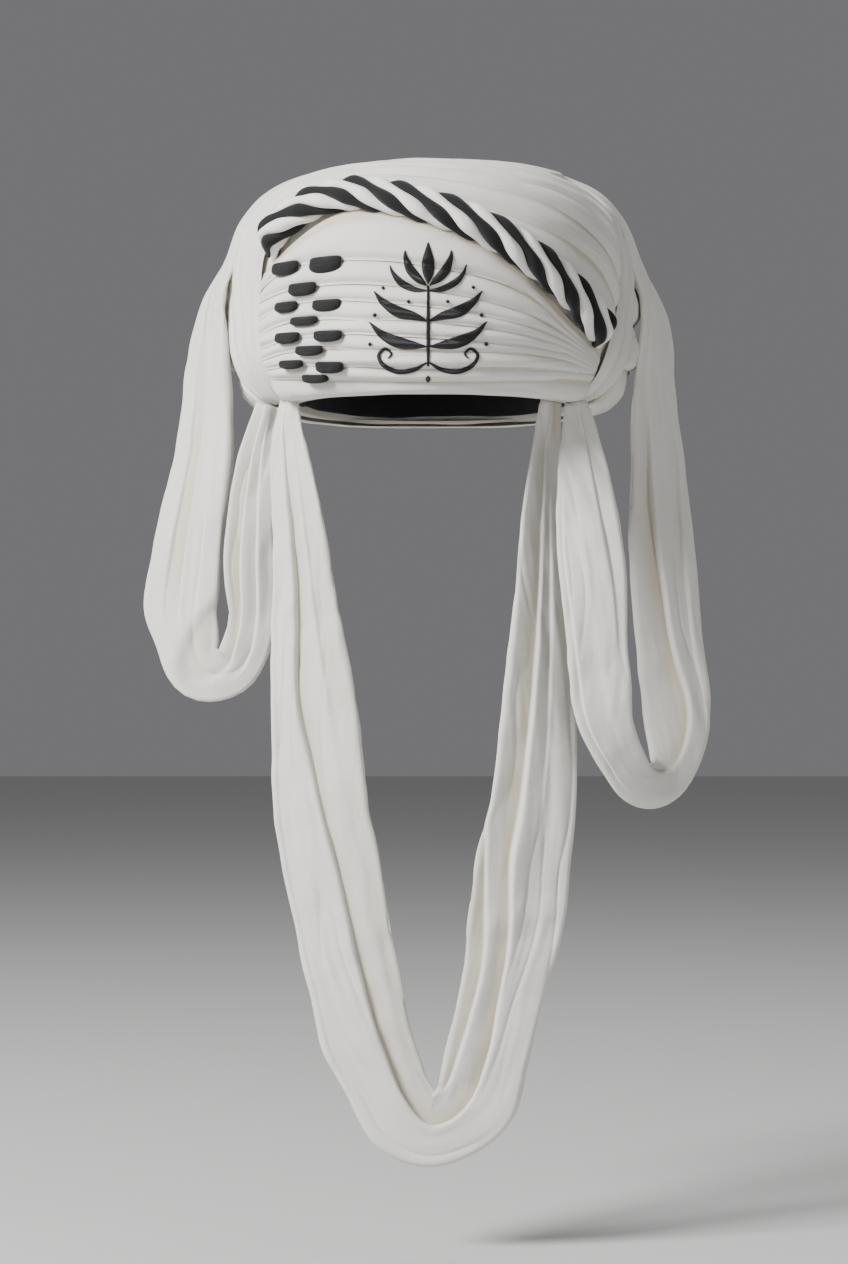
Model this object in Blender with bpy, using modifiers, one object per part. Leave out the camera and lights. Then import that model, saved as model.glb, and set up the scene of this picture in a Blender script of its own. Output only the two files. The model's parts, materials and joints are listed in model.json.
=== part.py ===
"""A tied turban pagri: a wound cotton crown with a pleated front, a twisted braid and hanging ties.

Metres, +Z up. The wearer faces -Y. The origin is the centre of the head opening, level with the
front of the rim, where a head carries the turban.
"""

import math

import bmesh
import bpy
from mathutils import Matrix, Quaternion, Vector

# Head opening and lining
HEAD_HALF_WIDTH = 0.080
HEAD_HALF_DEPTH = 0.099
HEAD_TOP = 0.110
HEAD_WIDEST_HEIGHT = 0.020
HEAD_TUCK = 0.120
HEAD_POWER = 2.6
LINING_WALL = 0.002
LINING_EDGE_HEIGHT = 0.006

# Wound crown under the folds
CROWN_HALF_WIDTH = 0.117
CROWN_HALF_DEPTH = 0.137
CROWN_TOP = 0.134
CROWN_WIDEST_HEIGHT = 0.045
CROWN_TUCK = 0.058
CROWN_POWER = 3.2
BACK_RIM_DROP = 0.006

# Folds laid on the crown
CLOTH_WALL = 0.002
FOLD_RISE = 0.0026
FOLD_BED = 0.0010
FIT_GAP = 0.0003
NARROWEST_FOLD = 0.0016

# Braid
BRAID_HALF_WIDTH = 0.0097
BRAID_HALF_HEIGHT = 0.0076
BRAID_PITCH = 0.085
STRAND_RADIUS = 0.00215
STRAND_COUNT = 6
BRAID_SEAT = 0.0018
BRAID_SPREAD = 0.10

# Black tape tabs
TAB_WIDTH = 0.0180
TAB_HEIGHT = 0.0068
TAB_THICKNESS = 0.0040
TAB_BEVEL = 0.0012
TAB_SEAT = 0.0004

# Hanging ties
TIE_WALL = 0.0024
TIE_FOLD_DEPTH = 0.0075
TIE_HALF_WIDTH = 0.0286
TIE_CLEARANCE = 0.0005
LOOP_DROP = 0.436
LEFT_TAIL_DROP = 0.158
RIGHT_TAIL_DROP = 0.219

# Mesh counts
CROWN_SIDES = 36
HEAD_ROWS = 7
FOLD_COLUMN_LENGTH = 0.0165
FOLD_ROW_WIDTH = 0.0110
STRAND_POINTS = 23
TIE_SECTIONS = 26
DRAPE_SECTIONS = 9

WHITE = ("white_cotton", (0.86, 0.85, 0.82), 0.85)
BLACK = ("black_cloth", (0.012, 0.012, 0.013), 0.80)

# Front pleats: each row is one pleat edge, its elevation in degrees at these azimuths
PLEAT_AZIMUTHS = (-51.5, -40, -25, -12, 0, 12, 24, 36, 50)
PLEAT_EDGES = (
    (9.6, 15.4, 22.0, 22.3, 19.0, 13.4, 5.9, -3.0, -10.2),
    (6.9, 11.0, 11.9, 11.0, 9.3, 7.2, 3.0, -4.4, -10.8),
    (4.1, 5.7, 6.2, 5.5, 3.9, 1.9, -1.1, -5.9, -11.4),
    (-0.4, 2.1, 2.4, 1.4, 0.1, -1.7, -3.9, -7.4, -12.1),
    (-4.4, -2.2, -1.9, -2.6, -3.1, -4.4, -6.3, -8.9, -12.8),
    (-8.1, -6.4, -5.7, -6.2, -6.8, -7.5, -8.6, -10.5, -13.6),
    (-11.1, -9.6, -9.3, -9.7, -9.8, -10.0, -10.8, -12.1, -14.5),
    (-13.9, -13.0, -13.3, -13.9, -14.0, -14.0, -14.1, -14.5, -15.7),
    (-16.4, -16.6, -17.1, -17.5, -17.5, -17.4, -17.2, -17.1, -17.7),
)

# Arch folds: each row is one fold edge as (azimuth, elevation) in degrees, left corner to right side
ARCH_EDGES = (
    ((-54, -23), (-52.5, -10), (-52.5, 3), (-52.5, 13), (-50.5, 20), (-46, 26.8), (-36, 31.8),
     (-20, 32.2), (-4, 29.2), (10, 25.2), (24, 21.2), (38, 17), (50, 11.3), (58.5, 4)),
    ((-59, -23.5), (-58, -10), (-59, 3), (-60, 14), (-58.5, 24), (-51, 32.5), (-38, 37.5),
     (-20, 38.8), (-4, 35.8), (17, 31), (36, 26.4), (48, 21), (56, 16.5), (61.5, 11)),
    ((-64, -24), (-65, -10), (-67, 3), (-69, 15), (-68.5, 28), (-61, 38), (-46, 44.5),
     (-22, 46.2), (2, 42), (26, 36.6), (45, 31.8), (56, 26.5), (61, 22), (63.5, 17.5)),
    ((-69, -24.5), (-72, -10), (-76, 3), (-79, 16), (-79.5, 31), (-74, 44), (-58, 52),
     (-30, 54), (0, 50), (26, 45), (47, 39.5), (60, 33), (64.5, 28), (65.8, 24)),
    ((-74, -25), (-80, -10), (-86, 3), (-90, 16), (-92.5, 32), (-92, 48), (-78, 60),
     (-40, 63.5), (0, 59), (29, 53.5), (52, 47), (65, 39), (68, 34), (68.6, 31)),
)
BRAID_SIDE_EDGES = (
    ((9, 23.4), (16, 20.6), (26, 15.4), (36, 8.8), (45, 2.2), (53.5, -4.2)),
    ((9, 25.5), (18, 22.9), (28, 20.0), (40, 16.3), (50, 11.3), (58.5, 4)),
)
RIGHT_SIDE_EDGES = (
    ((52.5, -23.5), (53, -16), (54.5, -9), (58, -2), (62, 6), (65, 14), (67.5, 23), (71, 33), (77, 43)),
    ((58, -24), (60.5, -16), (63.5, -8), (67, 0), (70, 8), (72.5, 16), (75, 25), (78.5, 35), (84, 45)),
    ((64, -24.5), (69, -15), (73, -6), (77, 3), (79.5, 11), (82, 19), (84.5, 28), (88, 38), (93, 47)),
)

# Elevations of the crown's rings above its rim, in degrees
CROWN_STATIONS = (83, 66, 51, 39, 27, 13, 0, -12)

# Back wraps: each row is one edge, from the right side round the back to the left side
BACK_EDGES = (
    ((68, -24), (120, -24), (180, -24), (240, -24), (284, -24)),
    ((72, -12.5), (120, -12), (180, -11), (240, -12), (278.5, -12.5)),
    ((77.5, 0.5), (120, 0), (180, 1), (240, 0), (273, 0.5)),
    ((81.8, 13), (120, 12), (180, 13), (240, 13), (268.5, 13)),
    ((85.5, 26), (120, 25), (180, 26), (240, 26), (265.5, 26)),
    ((89.5, 39), (120, 39), (180, 40), (240, 40), (264.5, 40)),
    ((94.5, 50), (120, 53), (180, 55), (240, 54), (264.5, 50)),
)
CROWN_TOP_EDGES = (
    ((-94, 51.5), (-78, 60.5), (-40, 64), (0, 59.5), (29, 54), (52, 47.5), (65, 45.2), (75, 46)),
    ((-96.5, 53), (-120, 56), (-150, 57), (-180, 57), (-215, 56.5), (-240, 55), (-258, 53), (-267, 50.5)),
)
BRAID_AXIS = (
    (-48.2, 17.0), (-45.6, 19.6), (-41.2, 22.3), (-34, 25.6), (-22, 27.2), (-9.4, 24.9), (2.3, 21.4),
    (12.6, 17.4), (24, 11.4), (34.9, 4.6), (43.2, -1.6), (49.0, -5.4),
)

# Tabs: azimuth and elevation in degrees, width and height as shares of the tab sizes, and how much
# of the pleat's rise lies under the tab
TABS = (
    (-39.5, 10.5, 1.15, 1.10, 1.00), (-26.6, 10.3, 1.12, 1.35, 0.75), (-33.3, 5.0, 1.08, 1.05, 1.00),
    (-38.8, 1.1, 0.96, 0.88, 1.00), (-26.2, 0.8, 1.00, 1.00, 0.55), (-33.0, -2.6, 1.06, 0.74, 0.75),
    (-38.6, -6.4, 1.04, 0.90, 1.00), (-25.7, -6.4, 0.98, 0.90, 0.90), (-31.6, -9.7, 1.04, 0.80, 0.90),
    (-38.5, -12.9, 0.98, 0.72, 1.00), (-26.3, -13.9, 0.95, 0.95, 0.90), (-31.8, -16.8, 0.95, 0.72, 0.90),
)

# One tie's cross-section, folded lengthwise: (across, depth) as shares of half width and fold depth
TIE_FOLDS = (
    (-1.00, 0.10), (-0.66, 0.95), (-0.30, -0.55), (0.06, 0.90), (0.44, -0.60), (0.72, 0.55), (1.00, -0.15),
)

# Ties: each row is one section, with x and y as shares of the crown's half width and half depth,
# z of the crown's height above the rim and of the tie's drop below it, then the half width and the
# fold depth as shares, and the turn about the run in degrees
LEFT_TAIL = (
    (-1.131, 0.009, 0.472, 0.95, 0.50, 76),
    (-1.162, -0.022, 0.212, 0.85, 0.65, 62),
    (-1.162, -0.051, -0.040, 0.78, 0.90, 48),
    (-1.188, -0.109, -0.300, 0.78, 1.00, 36),
    (-1.244, -0.175, -0.600, 0.80, 1.00, 24),
    (-1.256, -0.219, -0.830, 0.72, 1.00, 14),
    (-1.168, -0.245, -0.995, 0.62, 0.90, 4),
    (-1.005, -0.263, -1.000, 0.58, 0.90, 0),
    (-0.923, -0.280, -0.830, 0.52, 0.90, 0),
    (-0.923, -0.299, -0.600, 0.52, 0.90, 0),
    (-0.911, -0.314, -0.400, 0.44, 0.80, 0),
    (-0.880, -0.333, -0.200, 0.34, 0.60, 0),
    (-0.829, -0.342, -0.030, 0.22, 0.35, 0),
)
RIGHT_TAIL = (
    (1.131, 0.018, 0.458, 0.95, 0.50, -76),
    (1.150, 0.035, 0.131, 0.85, 0.65, -62),
    (1.150, 0.035, -0.120, 0.80, 0.90, -48),
    (1.162, 0.009, -0.350, 0.80, 1.00, -36),
    (1.194, -0.035, -0.600, 0.80, 1.00, -24),
    (1.238, -0.088, -0.840, 0.66, 1.00, -14),
    (1.200, -0.197, -1.010, 0.52, 0.90, -6),
    (1.017, -0.350, -1.030, 0.50, 0.90, 0),
    (0.872, -0.473, -0.900, 0.50, 0.90, 0),
    (0.829, -0.534, -0.740, 0.60, 0.95, 0),
    (0.803, -0.561, -0.560, 0.68, 1.00, 0),
    (0.769, -0.569, -0.390, 0.68, 1.00, 0),
    (0.744, -0.561, -0.230, 0.56, 0.80, 0),
    (0.729, -0.526, -0.110, 0.36, 0.50, 0),
    (0.714, -0.482, -0.018, 0.21, 0.30, 0),
)
FRONT_LOOP = (
    (-0.718, -0.429, -0.005, 0.26, 0.25, 45),
    (-0.725, -0.438, -0.060, 0.45, 0.50, 42),
    (-0.690, -0.445, -0.140, 0.62, 0.75, 40),
    (-0.655, -0.449, -0.225, 0.72, 1.00, 36),
    (-0.615, -0.453, -0.372, 0.92, 1.00, 28),
    (-0.579, -0.456, -0.482, 0.97, 1.00, 24),
    (-0.552, -0.460, -0.564, 0.96, 1.00, 20),
    (-0.500, -0.464, -0.638, 0.97, 1.00, 16),
    (-0.452, -0.467, -0.731, 0.96, 1.00, 12),
    (-0.390, -0.471, -0.788, 0.94, 1.00, 8),
    (-0.308, -0.474, -0.867, 0.90, 1.00, 4),
    (-0.197, -0.474, -0.936, 0.87, 1.00, 0),
    (-0.017, -0.478, -0.979, 0.88, 1.00, 0),
    (0.171, -0.474, -0.952, 0.86, 1.00, 0),
    (0.274, -0.471, -0.883, 0.88, 1.00, 4),
    (0.329, -0.467, -0.814, 0.91, 1.00, 8),
    (0.399, -0.460, -0.718, 0.95, 1.00, 12),
    (0.449, -0.449, -0.631, 0.93, 1.00, 16),
    (0.494, -0.438, -0.567, 0.91, 1.00, 20),
    (0.517, -0.431, -0.475, 0.88, 1.00, 24),
    (0.538, -0.416, -0.356, 0.76, 1.00, 30),
    (0.545, -0.409, -0.273, 0.64, 0.90, 33),
    (0.554, -0.405, -0.115, 0.46, 0.55, 40),
    (0.571, -0.412, -0.047, 0.34, 0.38, 44),
    (0.590, -0.431, -0.005, 0.26, 0.25, 45),
)

# Elevations in degrees where the cloth over the crown's top is laid, before it hangs free
TAIL_SHOULDER = (62, 50, 40, 31, 22)
DRAPE_SHOULDER = (62.15, 75, 90, 105, 117.85)
SHOULDER_WIDTH_SHARE = 1.05
SHOULDER_FOLD_SHARE = 0.18


def clear_scene():
    for thing in list(bpy.data.objects):
        bpy.data.objects.remove(thing, do_unlink=True)


def make_collection(name):
    collection = bpy.data.collections.new(name)
    bpy.context.scene.collection.children.link(collection)
    return collection


def make_material(look):
    name, colour, roughness = look
    found = bpy.data.materials.get(name)
    if found:
        return found
    material = bpy.data.materials.new(name)
    material.use_nodes = True
    shader = material.node_tree.nodes["Principled BSDF"]
    shader.inputs["Base Color"].default_value = (*colour, 1.0)
    shader.inputs["Roughness"].default_value = roughness
    shader.inputs["Metallic"].default_value = 0.0
    return material


def curve_through(rows, count):
    """Evenly spaced values on a smooth curve through the rows."""
    points = [Vector(row) for row in rows]
    points.insert(0, points[0] * 2 - points[1])
    points.append(points[-1] * 2 - points[-2])
    spans = len(points) - 3
    found = []
    for index in range(count):
        place = spans * index / (count - 1)
        span = min(int(place), spans - 1)
        t = place - span
        a, b, c, d = points[span:span + 4]
        bend = (2 * a - 5 * b + 4 * c - d) * t * t + (3 * b - a - 3 * c + d) * t ** 3
        found.append((2 * b + (c - a) * t + bend) / 2)
    return found


def dome_share(height, widest, top, tuck, power):
    """How wide a rounded form is at a height, as a share of its widest."""
    reach = top - widest if height > widest else tuck
    share = min(abs(height - widest) / reach, 1.0)
    return (1 - share ** power) ** (1 / power)


def heading(azimuth):
    """The level direction at an azimuth, with 0 at the front and 90 at +X."""
    angle = math.radians(azimuth)
    return Vector((math.sin(angle), -math.cos(angle), 0.0))


def direction(azimuth, elevation):
    angle = math.radians(elevation)
    return heading(azimuth) * math.cos(angle) + Vector((0, 0, math.sin(angle)))


def crown_point(way, lift=0.0):
    """The point of the crown's outer form along a direction from its middle, raised by a lift."""
    wide = math.hypot(way.x / (CROWN_HALF_WIDTH + lift), way.y / (CROWN_HALF_DEPTH + lift))
    reach = CROWN_TOP - CROWN_WIDEST_HEIGHT if way.z > 0 else CROWN_TUCK
    tall = abs(way.z) / (reach + lift)
    size = (wide ** CROWN_POWER + tall ** CROWN_POWER) ** (-1 / CROWN_POWER)
    return Vector((0, 0, CROWN_WIDEST_HEIGHT)) + way * size


def rim_height(azimuth):
    return -BACK_RIM_DROP * (1 - math.cos(math.radians(azimuth))) / 2


def rim_direction(azimuth):
    """The direction from the crown's middle to its rim."""
    level = heading(azimuth)
    height = rim_height(azimuth)
    share = dome_share(height, CROWN_WIDEST_HEIGHT, CROWN_TOP, CROWN_TUCK, CROWN_POWER)
    size = share / math.hypot(level.x / CROWN_HALF_WIDTH, level.y / CROWN_HALF_DEPTH)
    return (level * size + Vector((0, 0, height - CROWN_WIDEST_HEIGHT))).normalized()


def head_point(azimuth, height, offset):
    """The point of the head opening's form at a height, grown by an offset."""
    share = dome_share(height, HEAD_WIDEST_HEIGHT, HEAD_TOP + offset, HEAD_TUCK, HEAD_POWER)
    level = heading(azimuth)
    wide = math.hypot(level.x / (HEAD_HALF_WIDTH + offset), level.y / (HEAD_HALF_DEPTH + offset))
    return level * share / wide + Vector((0, 0, height))


def round_azimuths():
    return [360 * step / CROWN_SIDES for step in range(CROWN_SIDES)]


def head_rings(offset, lowest):
    """Rings of the head form from its lower edge to its top."""
    rings = []
    for row in range(HEAD_ROWS):
        turn = math.radians(86 * row / (HEAD_ROWS - 1))
        ring = []
        for azimuth in round_azimuths():
            low = rim_height(azimuth)
            height = low + (HEAD_TOP + offset - low) * math.sin(turn)
            height = max(height, low + lowest)
            ring.append(head_point(azimuth, height, offset))
        rings.append(ring)
    return rings


def crown_rings():
    """Rings of the crown's outer form from its top to its rim."""
    rings = []
    for elevation in CROWN_STATIONS:
        rings.append([crown_point(direction(azimuth, elevation)) for azimuth in round_azimuths()])
    rings.append([crown_point(rim_direction(azimuth)) for azimuth in round_azimuths()])
    return rings


def skin(name, rings, look, collection):
    """A closed solid through a run of rings, with a flat cap at each end."""
    mesh = bmesh.new()
    loops = [[mesh.verts.new(point) for point in ring] for ring in rings]
    for near, far in zip(loops, loops[1:]):
        for corner in range(len(near)):
            after = (corner + 1) % len(near)
            mesh.faces.new((near[corner], near[after], far[after], far[corner]))
    mesh.faces.new(loops[0])
    mesh.faces.new(loops[-1])
    bmesh.ops.recalc_face_normals(mesh, faces=mesh.faces[:])
    data = bpy.data.meshes.new(name)
    mesh.to_mesh(data)
    mesh.free()
    data.materials.append(make_material(look))
    data.shade_smooth()
    data.set_sharp_from_angle(angle=math.radians(40))
    thing = bpy.data.objects.new(name, data)
    collection.objects.link(thing)
    return thing


def add_wound_core(collection):
    seat = LINING_WALL + FIT_GAP
    rings = crown_rings() + head_rings(seat, 0.0)
    skin("wound_core", rings, WHITE, collection)


def add_inner_cap(collection):
    outside = head_rings(LINING_WALL, LINING_EDGE_HEIGHT)
    inside = head_rings(0.0, LINING_EDGE_HEIGHT)
    skin("inner_cap", outside[::-1] + inside, BLACK, collection)


def edge_ways(edge, count):
    """Directions along a fold's edge, from its few (azimuth, elevation) rows."""
    return [way.normalized() for way in curve_through([direction(*row) for row in edge], count)]


def span_between(way, other):
    """How far apart two directions meet the crown."""
    return (crown_point(other) - crown_point(way)).length


def fold_section(proud, tucked, rows):
    """One section of a fold between its proud edge and its tucked edge, both as directions."""
    trim = FIT_GAP / max(span_between(proud, tucked), NARROWEST_FOLD)
    outside, inside = [], []
    for row in range(rows + 1):
        share = trim + (1 - 2 * trim) * row / rows
        way = proud.lerp(tucked, share).normalized()
        low = FOLD_BED + FOLD_RISE * (1 - share)
        outside.append(crown_point(way, low + CLOTH_WALL))
        inside.append(crown_point(way, low))
    return outside + inside[::-1]


def add_fold(name, proud_edge, tucked_edge, collection):
    """A strip of cloth laid on the crown, standing proud along one edge and tucked in at the other."""
    rough = edge_ways(proud_edge, len(proud_edge) * 2)
    length = sum(span_between(way, after) for way, after in zip(rough, rough[1:]))
    columns = max(round(length / FOLD_COLUMN_LENGTH), 4) + 1
    pairs = list(zip(edge_ways(proud_edge, columns), edge_ways(tucked_edge, columns)))
    widest = max(span_between(proud, tucked) for proud, tucked in pairs)
    rows = max(round(widest / FOLD_ROW_WIDTH), 1)
    rings = [fold_section(proud, tucked, rows) for proud, tucked in pairs]
    skin(name, rings, WHITE, collection)


def rim_edge(azimuths):
    edge = []
    for azimuth in azimuths:
        edge.append((azimuth, math.degrees(math.asin(rim_direction(azimuth).z))))
    return edge


def add_front_pleats(collection):
    edges = [list(zip(PLEAT_AZIMUTHS, row)) for row in PLEAT_EDGES]
    edges.append(rim_edge(PLEAT_AZIMUTHS))
    for number, (upper, lower) in enumerate(zip(edges, edges[1:]), 1):
        add_fold(f"front_pleat_{number}", lower, upper, collection)


def add_crown_folds(collection):
    for number, (front, back) in enumerate(zip(ARCH_EDGES, ARCH_EDGES[1:]), 1):
        add_fold(f"arch_fold_{number}", front, back, collection)
    add_fold("braid_side_fold", *BRAID_SIDE_EDGES, collection)
    for number, (front, back) in enumerate(zip(RIGHT_SIDE_EDGES, RIGHT_SIDE_EDGES[1:]), 1):
        add_fold(f"right_side_fold_{number}", front, back, collection)
    edges = list(BACK_EDGES)
    edges[0] = rim_edge([row[0] for row in BACK_EDGES[0]])
    for number, (lower, upper) in enumerate(zip(edges, edges[1:]), 1):
        add_fold(f"back_wrap_{number}", lower, upper, collection)
    add_fold("crown_top_fold", *CROWN_TOP_EDGES, collection)


def crown_normal(way, along):
    """The crown's outward normal on a line that runs along it."""
    beside = Quaternion(along, math.radians(1)) @ way
    across = crown_point(beside.normalized()) - crown_point(way)
    out = across.cross(along).normalized()
    return out if out.dot(way) > 0 else -out


def braid_frames(count):
    """Frames along the braid: its seat point, sideways, outward and the length run so far."""
    ways = edge_ways(BRAID_AXIS, count)
    seats = [crown_point(way, BRAID_SEAT) for way in ways]
    frames = []
    run = 0.0
    for index, seat in enumerate(seats):
        before = seats[max(index - 1, 0)]
        after = seats[min(index + 1, count - 1)]
        along = (after - before).normalized()
        out = crown_normal(ways[index], along)
        if index:
            run += (seat - before).length
        frames.append((seat, along.cross(out), out, run))
    return frames


def add_braid(collection):
    frames = braid_frames(STRAND_POINTS)
    wide = BRAID_HALF_WIDTH - STRAND_RADIUS
    tall = BRAID_HALF_HEIGHT - STRAND_RADIUS
    for strand in range(STRAND_COUNT):
        points = []
        for seat, side, out, run in frames:
            turn = math.tau * (strand / STRAND_COUNT - run / BRAID_PITCH)
            turn += BRAID_SPREAD * math.sin(2 * turn)
            middle = seat + out * BRAID_HALF_HEIGHT
            points.append(middle + side * wide * math.cos(turn) + out * tall * math.sin(turn))
        look = BLACK if strand % 2 else WHITE
        add_strand(f"braid_strand_{strand + 1}", points, look, collection)


def add_strand(name, points, look, collection):
    data = bpy.data.curves.new(name, "CURVE")
    data.dimensions = "3D"
    data.bevel_depth = STRAND_RADIUS
    data.bevel_resolution = 1
    data.use_fill_caps = True
    line = data.splines.new("POLY")
    line.points.add(len(points) - 1)
    for slot, point in zip(line.points, points):
        slot.co = (*point, 1.0)
    data.materials.append(make_material(look))
    collection.objects.link(bpy.data.objects.new(name, data))


def crown_axes(azimuth, elevation):
    """The level, upright and outward axes at a place on the crown."""
    right, left = direction(azimuth + 1, elevation), direction(azimuth - 1, elevation)
    above, below = direction(azimuth, elevation + 1), direction(azimuth, elevation - 1)
    level = (crown_point(right) - crown_point(left)).normalized()
    out = level.cross(crown_point(above) - crown_point(below)).normalized()
    return level, out.cross(level), out


def add_pad(name, size, place, axes, collection):
    """A small puffed pad with bevelled edges, its face along the first two axes."""
    mesh = bmesh.new()
    bmesh.ops.create_cube(mesh, size=1.0)
    bmesh.ops.scale(mesh, vec=size, verts=mesh.verts)
    data = bpy.data.meshes.new(name)
    mesh.to_mesh(data)
    mesh.free()
    data.materials.append(make_material(BLACK))
    thing = bpy.data.objects.new(name, data)
    thing.matrix_world = Matrix.Translation(place) @ Matrix(axes).transposed().to_4x4()
    bevel = thing.modifiers.new("rounded", "BEVEL")
    bevel.width = TAB_BEVEL
    bevel.segments = 1
    collection.objects.link(thing)


def add_tabs(collection):
    """The tabs of black tape that lie on the pleats."""
    for number, (azimuth, elevation, wide, tall, rise) in enumerate(TABS, 1):
        axes = crown_axes(azimuth, elevation)
        seat = FOLD_BED + FOLD_RISE * rise + CLOTH_WALL + TAB_SEAT
        place = crown_point(direction(azimuth, elevation), seat) + axes[2] * TAB_THICKNESS / 2
        size = (TAB_WIDTH * wide, TAB_HEIGHT * tall, TAB_THICKNESS)
        add_pad(f"tape_tab_{number}", size, place, axes, collection)


def tie_section(row, along):
    """The closed outline of one folded section of a tie."""
    centre, half_width, fold_depth, turn = row
    side = Vector((-along.z, 0.0, along.x)).normalized()
    side = Quaternion(along, math.radians(turn)) @ side
    side = (side - along * side.dot(along)).normalized()
    front = along.cross(side)
    line = [Vector((across * half_width, deep * fold_depth)) for across, deep in TIE_FOLDS]
    left, right = [], []
    for index, point in enumerate(line):
        before = line[max(index - 1, 0)]
        after = line[min(index + 1, len(line) - 1)]
        run = (after - before).normalized()
        wall = Vector((-run.y, run.x)) * TIE_WALL / 2
        left.append(centre + side * (point + wall).x + front * (point + wall).y)
        right.append(centre + side * (point - wall).x + front * (point - wall).y)
    return left + right[::-1]


def shoulder_rows(side, elevations):
    """Sections laid over the crown's top, on the left for a side of -1 and on the right for 1."""
    fold_depth = SHOULDER_FOLD_SHARE * TIE_FOLD_DEPTH
    lift = FOLD_BED + FOLD_RISE + CLOTH_WALL + TIE_CLEARANCE + fold_depth + TIE_WALL / 2
    rows = []
    for elevation in elevations:
        place = crown_point(direction(side * 90, elevation), lift)
        rows.append((*place, SHOULDER_WIDTH_SHARE * TIE_HALF_WIDTH, fold_depth, -side * 90))
    return rows


def hanging_rows(table, drop):
    """Sections of a tie that hangs clear of the crown."""
    rows = []
    for x, y, z, wide, deep, turn in table:
        height = z * (CROWN_TOP if z > 0 else drop)
        place = (x * CROWN_HALF_WIDTH, y * CROWN_HALF_DEPTH, height)
        rows.append((*place, wide * TIE_HALF_WIDTH, deep * TIE_FOLD_DEPTH, turn))
    return rows


def add_tie(name, rows, sections, collection):
    """A tie: a folded strip of cloth along its own route."""
    found = curve_through(rows, sections)
    centres = [Vector(row[:3]) for row in found]
    rings = []
    for index, row in enumerate(found):
        before = centres[max(index - 1, 0)]
        after = centres[min(index + 1, len(centres) - 1)]
        along = (after - before).normalized()
        rings.append(tie_section((centres[index], *row[3:]), along))
    skin(name, rings, WHITE, collection)


def main():
    clear_scene()
    turban = make_collection("tied_turban_pagri")
    add_wound_core(turban)
    add_inner_cap(turban)
    add_front_pleats(turban)
    add_crown_folds(turban)
    add_braid(turban)
    add_tabs(turban)
    left = shoulder_rows(-1, TAIL_SHOULDER) + hanging_rows(LEFT_TAIL, LEFT_TAIL_DROP)
    right = shoulder_rows(1, TAIL_SHOULDER) + hanging_rows(RIGHT_TAIL, RIGHT_TAIL_DROP)
    add_tie("left_tail", left, TIE_SECTIONS, turban)
    add_tie("right_tail", right, TIE_SECTIONS, turban)
    add_tie("top_drape", shoulder_rows(-1, DRAPE_SHOULDER), DRAPE_SECTIONS, turban)
    add_tie("front_loop", hanging_rows(FRONT_LOOP, LOOP_DROP), TIE_SECTIONS, turban)


main()
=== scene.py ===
"""The looks of a tied turban pagri: wound cotton folds, a twisted braid, black tabs and hanging ties.

Everything is in metres in the packed model's frame. The wearer faces -Y and +Z is up.
"""

import json
import math

import bpy
import numpy as np
from bpy.props import FloatProperty, FloatVectorProperty, PointerProperty
from bpy.types import Operator, Panel, PropertyGroup
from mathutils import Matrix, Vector
from mathutils.bvhtree import BVHTree

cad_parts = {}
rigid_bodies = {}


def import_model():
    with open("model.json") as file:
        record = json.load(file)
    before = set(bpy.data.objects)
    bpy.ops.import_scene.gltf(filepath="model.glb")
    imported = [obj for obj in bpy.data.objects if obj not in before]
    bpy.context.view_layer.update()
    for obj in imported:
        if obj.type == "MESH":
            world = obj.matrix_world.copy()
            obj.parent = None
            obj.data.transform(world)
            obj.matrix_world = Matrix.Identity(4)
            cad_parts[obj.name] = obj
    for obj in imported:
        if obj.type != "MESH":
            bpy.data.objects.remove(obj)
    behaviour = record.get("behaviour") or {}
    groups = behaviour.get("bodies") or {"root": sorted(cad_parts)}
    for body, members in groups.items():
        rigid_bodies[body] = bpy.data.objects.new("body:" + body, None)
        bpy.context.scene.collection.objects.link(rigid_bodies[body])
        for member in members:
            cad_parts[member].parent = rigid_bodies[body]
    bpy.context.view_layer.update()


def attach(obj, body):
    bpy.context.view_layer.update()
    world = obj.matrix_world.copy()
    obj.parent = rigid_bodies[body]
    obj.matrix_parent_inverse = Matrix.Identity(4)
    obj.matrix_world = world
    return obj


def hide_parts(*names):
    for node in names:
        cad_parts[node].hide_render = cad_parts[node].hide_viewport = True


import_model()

bl_info = {
    "name": "Tied turban",
    "version": (1, 0, 0),
    "blender": (4, 5, 0),
    "location": "View3D > Sidebar > Turban",
    "description": "Builds the cloth, braid, tabs and ties of a tied turban over its packed frame",
    "category": "Object",
}

# Head opening and lining
HEAD_HALF_WIDTH = 0.080
HEAD_HALF_DEPTH = 0.099
HEAD_TOP = 0.110
HEAD_WIDEST_HEIGHT = 0.020
HEAD_TUCK = 0.120
HEAD_POWER = 2.6
LINING_WALL = 0.002
LINING_EDGE_HEIGHT = 0.006
LINING_HEM_DROP = 0.0034

# Wound crown under the folds
CROWN_HALF_WIDTH = 0.117
CROWN_HALF_DEPTH = 0.137
CROWN_TOP = 0.134
CROWN_WIDEST_HEIGHT = 0.045
CROWN_TUCK = 0.058
CROWN_POWER = 3.2
BACK_RIM_DROP = 0.006

# Folds laid on the crown
CLOTH_WALL = 0.002
FOLD_RISE = 0.0026
FOLD_BED = 0.0010
FIT_GAP = 0.0003

# Braid
BRAID_HALF_WIDTH = 0.0097
BRAID_HALF_HEIGHT = 0.0076
BRAID_PITCH = 0.085
STRAND_COUNT = 6
BRAID_SEAT = 0.0018
BRAID_SPREAD = 0.10

# Black tape tabs
TAB_WIDTH = 0.0180
TAB_HEIGHT = 0.0068

# Hanging ties
TIE_WALL = 0.0024
TIE_FOLD_DEPTH = 0.0075
TIE_HALF_WIDTH = 0.0286
TIE_CLEARANCE = 0.0005
LOOP_DROP = 0.436
LEFT_TAIL_DROP = 0.158
RIGHT_TAIL_DROP = 0.219

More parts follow.
